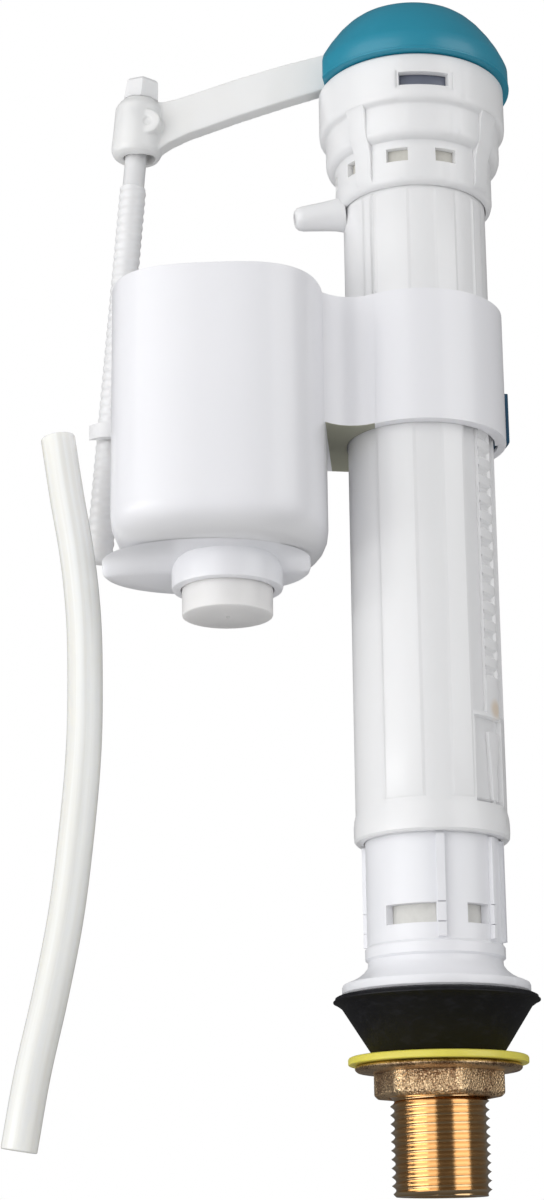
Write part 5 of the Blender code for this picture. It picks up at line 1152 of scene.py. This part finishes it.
STAND_UP = Matrix.Rotation(math.radians(90), 4, "X")
bar_bm = placed(slab([(reach * MM, height * MM) for reach, height in LEVER_BAR],
                     -LEVER_THICKNESS / 2, LEVER_THICKNESS / 2), LEVER_TURN @ STAND_UP)
EYE_PLACE = Matrix.Translation(in_lever_plane(EYE_REACH, EYE_HEIGHT)) @ LEVER_TURN @ (
    Matrix.Rotation(math.radians(-ROD_LEAN), 4, "Y"))
EYE_DOME = 6.5 * MM
BOSS_REACH = EYE_REACH - 3.1 * MM
BOSS_HEIGHT = EYE_HEIGHT - 2.7 * MM
BOSS_FACE = 5.5 * MM
dome = [(EYE_DOME * math.sin(math.radians(a)), EYE_DOME * math.cos(math.radians(a)))
        for a in (66, 58, 50, 40, 30, 20, 10)]
eye_bm = placed(spun_solid([
    (0, -EYE_SKIRT), (EYE_RADIUS - 1.6 * MM, -EYE_SKIRT), (EYE_RADIUS - 0.5 * MM, -EYE_SKIRT + 0.6 * MM),
    (EYE_RADIUS + 0.1 * MM, -EYE_SKIRT + 1.8 * MM), (EYE_RADIUS + 0.1 * MM, -EYE_SKIRT + 3 * MM),
    (EYE_RADIUS, -0.3 * EYE_SKIRT), (EYE_RADIUS, 2.2 * MM)] + dome + [(0, EYE_DOME)], 64), EYE_PLACE)
swivel_room_bm = placed(solid_round(4.7 * MM, -3.4 * MM, 3.4 * MM), EYE_PLACE)
rod_rooms = []
for swing, sides in ((0, 32), (10, 27)):
    run = Vector((math.sin(math.radians(swing)), 0, math.cos(math.radians(swing))))
    rod_rooms.append(rod_between(EYE_PLACE @ (run * -14 * MM), EYE_PLACE @ (run * 9 * MM), 3.0 * MM,
                                 sides))
dimple_bm = rod_between(in_lever_plane(BOSS_REACH, BOSS_HEIGHT, BOSS_FACE - 0.45 * MM),
                        in_lever_plane(BOSS_REACH, BOSS_HEIGHT, BOSS_FACE + MM), 1.1 * MM)
lever_bm = cut_by(
    joined(bar_bm, eye_bm, across_lever(BOSS_REACH, BOSS_HEIGHT, 3.1 * MM, BOSS_FACE)),
    swivel_room_bm, *rod_rooms, dimple_bm, across_lever(PIVOT_REACH, PIVOT_HEIGHT, 1.55 * MM, 5 * MM),
    across_lever(EYE_REACH, EYE_HEIGHT, 1.2 * MM, 5.5 * MM))
lever_white = moulded("lever moulding", colour(240, 240, 240), colour(233, 233, 232), 0.3, 0.3)
lever = piece("lever_moulding", lever_bm, lever_white, "lever", "ivory_plastic", "lever_arm")


def melt(made, grain, passes):
    """Run a piece's parts together with small moulded hollows."""
    merge = made.modifiers.new("moulded in one", "REMESH")
    merge.mode = "VOXEL"
    merge.voxel_size = grain
    merge.use_smooth_shade = True
    ease = made.modifiers.new("hollows", "SMOOTH")
    ease.factor = 0.5
    ease.iterations = passes


melt(lever, 0.22 * MM, 10)

# Adjusting rod and its swivel
# A thin white rod with coarse ridges, hung through the lever's eye. Its six-sided knob turns it in
# the swivel, and that screws the float's arm up or down.
ROD_RADIUS = 3.2 * MM
ROD_NECK = 2.6 * MM
ROD_NECK_BOTTOM = -18.0 * MM
ROD_FOOT = -112.0 * MM
KNOB_BOTTOM = 4.9 * MM
rod_bm = threaded(ROD_RADIUS, 0.24 * MM, 2.2 * MM, ROD_FOOT + 2 * MM, ROD_NECK_BOTTOM, 40)


def run_rings(bm, edges, levels, segments):
    """Carry a loop of edges on through circles of other radii and heights."""
    for radius, height in levels:
        ring = add_ring(bm, radius, height, segments)
        bmesh.ops.bridge_loops(bm, edges=edges + ring)
        edges = ring
    bmesh.ops.contextual_create(bm, geom=edges)


run_rings(rod_bm, rim_edges(rod_bm, ROD_NECK_BOTTOM), (
    (ROD_NECK + 0.3 * MM, ROD_NECK_BOTTOM + 0.2 * MM), (ROD_NECK, ROD_NECK_BOTTOM + 0.6 * MM),
    (ROD_NECK, KNOB_BOTTOM + 4 * MM)), 40)
run_rings(rod_bm, rim_edges(rod_bm, ROD_FOOT + 2 * MM), (
    (ROD_RADIUS, ROD_FOOT + 1.8 * MM), (ROD_RADIUS - 0.25 * MM, ROD_FOOT + 0.9 * MM),
    (ROD_RADIUS - 0.9 * MM, ROD_FOOT + 0.25 * MM), (ROD_RADIUS - 1.8 * MM, ROD_FOOT)), 40)
bmesh.ops.recalc_face_normals(rod_bm, faces=rod_bm.faces)
bmesh.ops.transform(rod_bm, matrix=EYE_PLACE, verts=rod_bm.verts)
rod_white = moulded("rod moulding", colour(240, 240, 241), colour(232, 232, 233), 0.28, 0.25)
piece("ridged_rod", rod_bm, rod_white, "rod", "ivory_plastic", "adjusting_rod")

knob_bm = bmesh.new()
bmesh.ops.create_circle(knob_bm, segments=6, radius=4.73 * MM, cap_ends=True,
                        matrix=Matrix.Translation((0, 0, KNOB_BOTTOM))
                        @ Matrix.Rotation(math.radians(12 - 180), 4, "Z"))
knob_loop = knob_bm.edges[:]
for scale, rise in ((0.92, 4.7 * MM), (0.84, 0.8 * MM)):
    knob_loop = grow(knob_bm, knob_loop, scale, rise)
bmesh.ops.contextual_create(knob_bm, geom=knob_loop)
bmesh.ops.recalc_face_normals(knob_bm, faces=knob_bm.faces)
hollow_bm = bmesh.new()
bmesh.ops.create_icosphere(hollow_bm, subdivisions=5, radius=EYE_DOME + 0.04 * MM)
knob_bm = cut_by(knob_bm, hollow_bm)
knob = piece("rod_knob", placed(knob_bm, EYE_PLACE), rod_white, "rod", "ivory_plastic")
soften(knob, 0.35 * MM, 3, 20)

swivel_bm = placed(spun(((2.9 * MM, -2.3 * MM), (3.8 * MM, -2.3 * MM), (3.8 * MM, 2.3 * MM),
                         (2.9 * MM, 2.3 * MM)), 48), EYE_PLACE)
stub_bms = [rod_between(EYE_PLACE @ Vector((0, side * 3.4 * MM, 0)),
                        EYE_PLACE @ Vector((0, side * 5.3 * MM, 0)), 0.9 * MM)
            for side in (-1, 1)]
soften(piece("eye_swivel", joined(swivel_bm, *stub_bms), rod_white, "swivel", "ivory_plastic",
             "rod_swivel"), 0.15 * MM)

# Float and its arm
# An upturned cup that rides inside the chamber, and the flat arm on it, which reaches out through
# a slot in the chamber's wall and forks round the rod.
FLOAT_BOTTOM = 101.6 * MM
FLOAT_TOP = 129.6 * MM
FLOAT_HALF_X = CHAMBER_HALF_X - CHAMBER_WALL - 1.2 * MM
FLOAT_HALF_Y = CHAMBER_HALF_Y - CHAMBER_WALL - 1.2 * MM
float_levels = [(FLOAT_HALF_X, FLOAT_HALF_Y, FLOAT_BOTTOM), (FLOAT_HALF_X, FLOAT_HALF_Y,
                                                             FLOAT_TOP - 1.4 * MM)]
float_levels += [(FLOAT_HALF_X - inset, FLOAT_HALF_Y - inset, FLOAT_TOP - drop)
                 for inset, drop in ((0.2 * MM, 0.7 * MM), (0.7 * MM, 0.2 * MM), (1.4 * MM, 0))]
hollow_levels = ((FLOAT_HALF_X - 1.3 * MM, FLOAT_HALF_Y - 1.3 * MM, FLOAT_BOTTOM - MM),
                 (FLOAT_HALF_X - 1.3 * MM, FLOAT_HALF_Y - 1.3 * MM, FLOAT_TOP - 1.3 * MM))
float_bm = cut_by(stacked(float_levels, 3.0, (CHAMBER_X, CHAMBER_Y)),
                  stacked(hollow_levels, 3.0, (CHAMBER_X, CHAMBER_Y)))
soften(piece("float_cup", float_bm, rod_white, "float_set", "ivory_plastic", "float"), 0.25 * MM)
rod_spot = (ROD_AT_ARM.x, ROD_AT_ARM.y)
fork_turn = Matrix.Translation((*rod_spot, 0)) @ LEVER_TURN
arm_bm = joined(
    solid_round(9 * MM, ARM_BOTTOM, ARM_TOP, (CHAMBER_X, CHAMBER_Y), 72),
    block((0, -ARM_WIDTH / 2, ARM_BOTTOM), (arm_run.length, ARM_WIDTH / 2, ARM_TOP), ARM_TURN),
    solid_round(5.6 * MM, ARM_BOTTOM, ARM_TOP, rod_spot, 64))
arm_bm = cut_by(arm_bm, solid_round(3.7 * MM, ARM_BOTTOM - MM, ARM_TOP + MM, rod_spot, 64),
                block((0, -3.7 * MM, ARM_BOTTOM - MM), (12 * MM, 3.7 * MM, ARM_TOP + MM), fork_turn))
soften(piece("fork_arm", arm_bm, rod_white, "float_set", "ivory_plastic", "float_arm"), 0.4 * MM, 3)

# Inner works
# What the head, riser and shank hide: the filter in the inlet, the supply tube up the riser, the
# rubber diaphragm on its seat, the pilot plate over it, and the lever's brass pin and rubber pad.
milky_plastic = moulded("inner milky moulding", colour(236, 237, 236), colour(226, 228, 227), 0.3, 0.3)
FILTER_RADIUS = SHANK_BORE - 0.3 * MM
FILTER_BOTTOM = SHANK_BOTTOM + 2 * MM
FILTER_TOP = FILTER_BOTTOM + 15 * MM
filter_bm = spun((
    (FILTER_RADIUS - MM, FILTER_BOTTOM), (FILTER_RADIUS, FILTER_BOTTOM),
    (FILTER_RADIUS, FILTER_TOP), (0.3 * FILTER_RADIUS, FILTER_TOP),
    (0.3 * FILTER_RADIUS, FILTER_TOP - MM), (FILTER_RADIUS - MM, FILTER_TOP - MM)), 72)
for k in range(8):
    pierce(filter_bm, (45 * k - 9, 45 * k + 9), (FILTER_BOTTOM + 3 * MM, FILTER_TOP - 3 * MM))
soften(piece("inlet_strainer", filter_bm, milky_plastic, "valve_body", "milky_plastic",
             "inlet_filter"), 0.1 * MM)

SUPPLY_RADIUS = 8.0 * MM
SUPPLY_BORE = 6.4 * MM
SEAT_BOTTOM = 193.3 * MM
SEAT_TOP = 195.3 * MM
supply_bm = spun((
    (SUPPLY_BORE, 6.3 * MM), (12.3 * MM, 6.3 * MM), (12.3 * MM, 8.3 * MM), (SUPPLY_RADIUS, 8.3 * MM),
    (SUPPLY_RADIUS, SEAT_BOTTOM), (18.1 * MM, SEAT_BOTTOM), (18.1 * MM, SEAT_TOP),
    (SUPPLY_RADIUS + 0.8 * MM, SEAT_TOP), (SUPPLY_RADIUS, 200.1 * MM), (SUPPLY_BORE, 200.1 * MM)), 96)
supply_bm = cut_by(supply_bm, *[
    solid_round(1.7 * MM, SEAT_BOTTOM - MM, SEAT_TOP + MM, tuple(from_azimuth(60 * k + 30, 12.6 * MM).xy),
                24) for k in range(6)])
soften(piece("supply_pipe", supply_bm, milky_plastic, "valve_body", "milky_plastic",
             "supply_tube"), 0.2 * MM)

grey_rubber = Finish("grey rubber", {})
dust = grey_rubber.cloudy(500, 4)
grey_rubber.set("Base Color", grey_rubber.mix(dust, colour(74, 74, 76), colour(96, 96, 98)))
grey_rubber.set("Roughness", 0.5 + dust * 0.25)
grey_rubber.bump(dust, 0.04 * MM, 0.5)
INSERT_RADIUS = 19.7 * MM
SEAL_SHEET = 201.5 * MM
piece("valve_diaphragm", spun((
    (1.5 * MM, SEAL_SHEET), (INSERT_RADIUS - 0.2 * MM, SEAL_SHEET),
    (INSERT_RADIUS, SEAL_SHEET + 0.3 * MM), (INSERT_RADIUS, SEAL_SHEET + 1.2 * MM),
    (INSERT_RADIUS - 0.3 * MM, SEAL_SHEET + 1.4 * MM), (INSERT_RADIUS - 2 * MM, SEAL_SHEET + 1.4 * MM),
    (INSERT_RADIUS - 3 * MM, SEAL_SHEET + 0.9 * MM), (10 * MM, SEAL_SHEET + 0.9 * MM),
    (9 * MM, SEAL_SHEET + 1.4 * MM), (1.5 * MM, SEAL_SHEET + 1.4 * MM))), grey_rubber,
    "valve_body", "grey_rubber", "diaphragm")

PILOT_BOTTOM = 203.2 * MM
PILOT_FLOOR = 205.2 * MM
PILOT_RIM = 208.8 * MM
PILOT_MOUTH = 212.36 * MM
CHEEK_GAP = 2.5 * MM
pilot_bm = spun((
    (0.8 * MM, PILOT_BOTTOM), (INSERT_RADIUS, PILOT_BOTTOM), (INSERT_RADIUS, PILOT_RIM),
    (INSERT_RADIUS - 1.6 * MM, PILOT_RIM), (INSERT_RADIUS - 1.6 * MM, PILOT_FLOOR),
    (4.0 * MM, PILOT_FLOOR), (2.4 * MM, PILOT_MOUTH),
    (0.8 * MM, PILOT_MOUTH)), 96)
cheek = [(PIVOT_REACH - 4 * MM, PILOT_FLOOR - MM), (PIVOT_REACH + 4 * MM, PILOT_FLOOR - MM)]
cheek += [(PIVOT_REACH + 3.6 * MM * math.cos(math.radians(a)),
           PIVOT_HEIGHT + 3.6 * MM * math.sin(math.radians(a))) for a in range(0, 181, 15)]
cheeks = [placed(slab(cheek, *sides), LEVER_TURN @ STAND_UP)
          for sides in ((-CHEEK_GAP - 2 * MM, -CHEEK_GAP), (CHEEK_GAP, CHEEK_GAP + 2 * MM))]
pilot_bm = cut_by(joined(pilot_bm, *cheeks), across_lever(PIVOT_REACH, PIVOT_HEIGHT, 1.55 * MM, 6 * MM))
# Painted shade: the pilot plate is a dark slate grey so that the crown's windows look shadowed inside.
painted_shade_slate = moulded("slate moulding", colour(120, 126, 142), colour(108, 114, 130), 0.35, 0.1)
soften(piece("pilot_moulding", pilot_bm, painted_shade_slate, "valve_body", "ivory_plastic",
             "pilot_plate"), 0.2 * MM)
soften(piece("pivot_pin", across_lever(PIVOT_REACH, PIVOT_HEIGHT, 1.25 * MM, 4.5 * MM), gold,
             "valve_body", "turned_brass", "lever_pin"), 0.2 * MM)
pad_low, pad_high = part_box("pilot_pad")
pad_bm = spun_solid(((0, pad_low.z), (2.0 * MM, pad_low.z), (2.0 * MM, pad_high.z),
                     (0, pad_high.z)), 48)
soften(piece("pilot_rubber", pad_bm, grey_rubber, "lever", "grey_rubber", "pilot_pad"), 0.2 * MM)
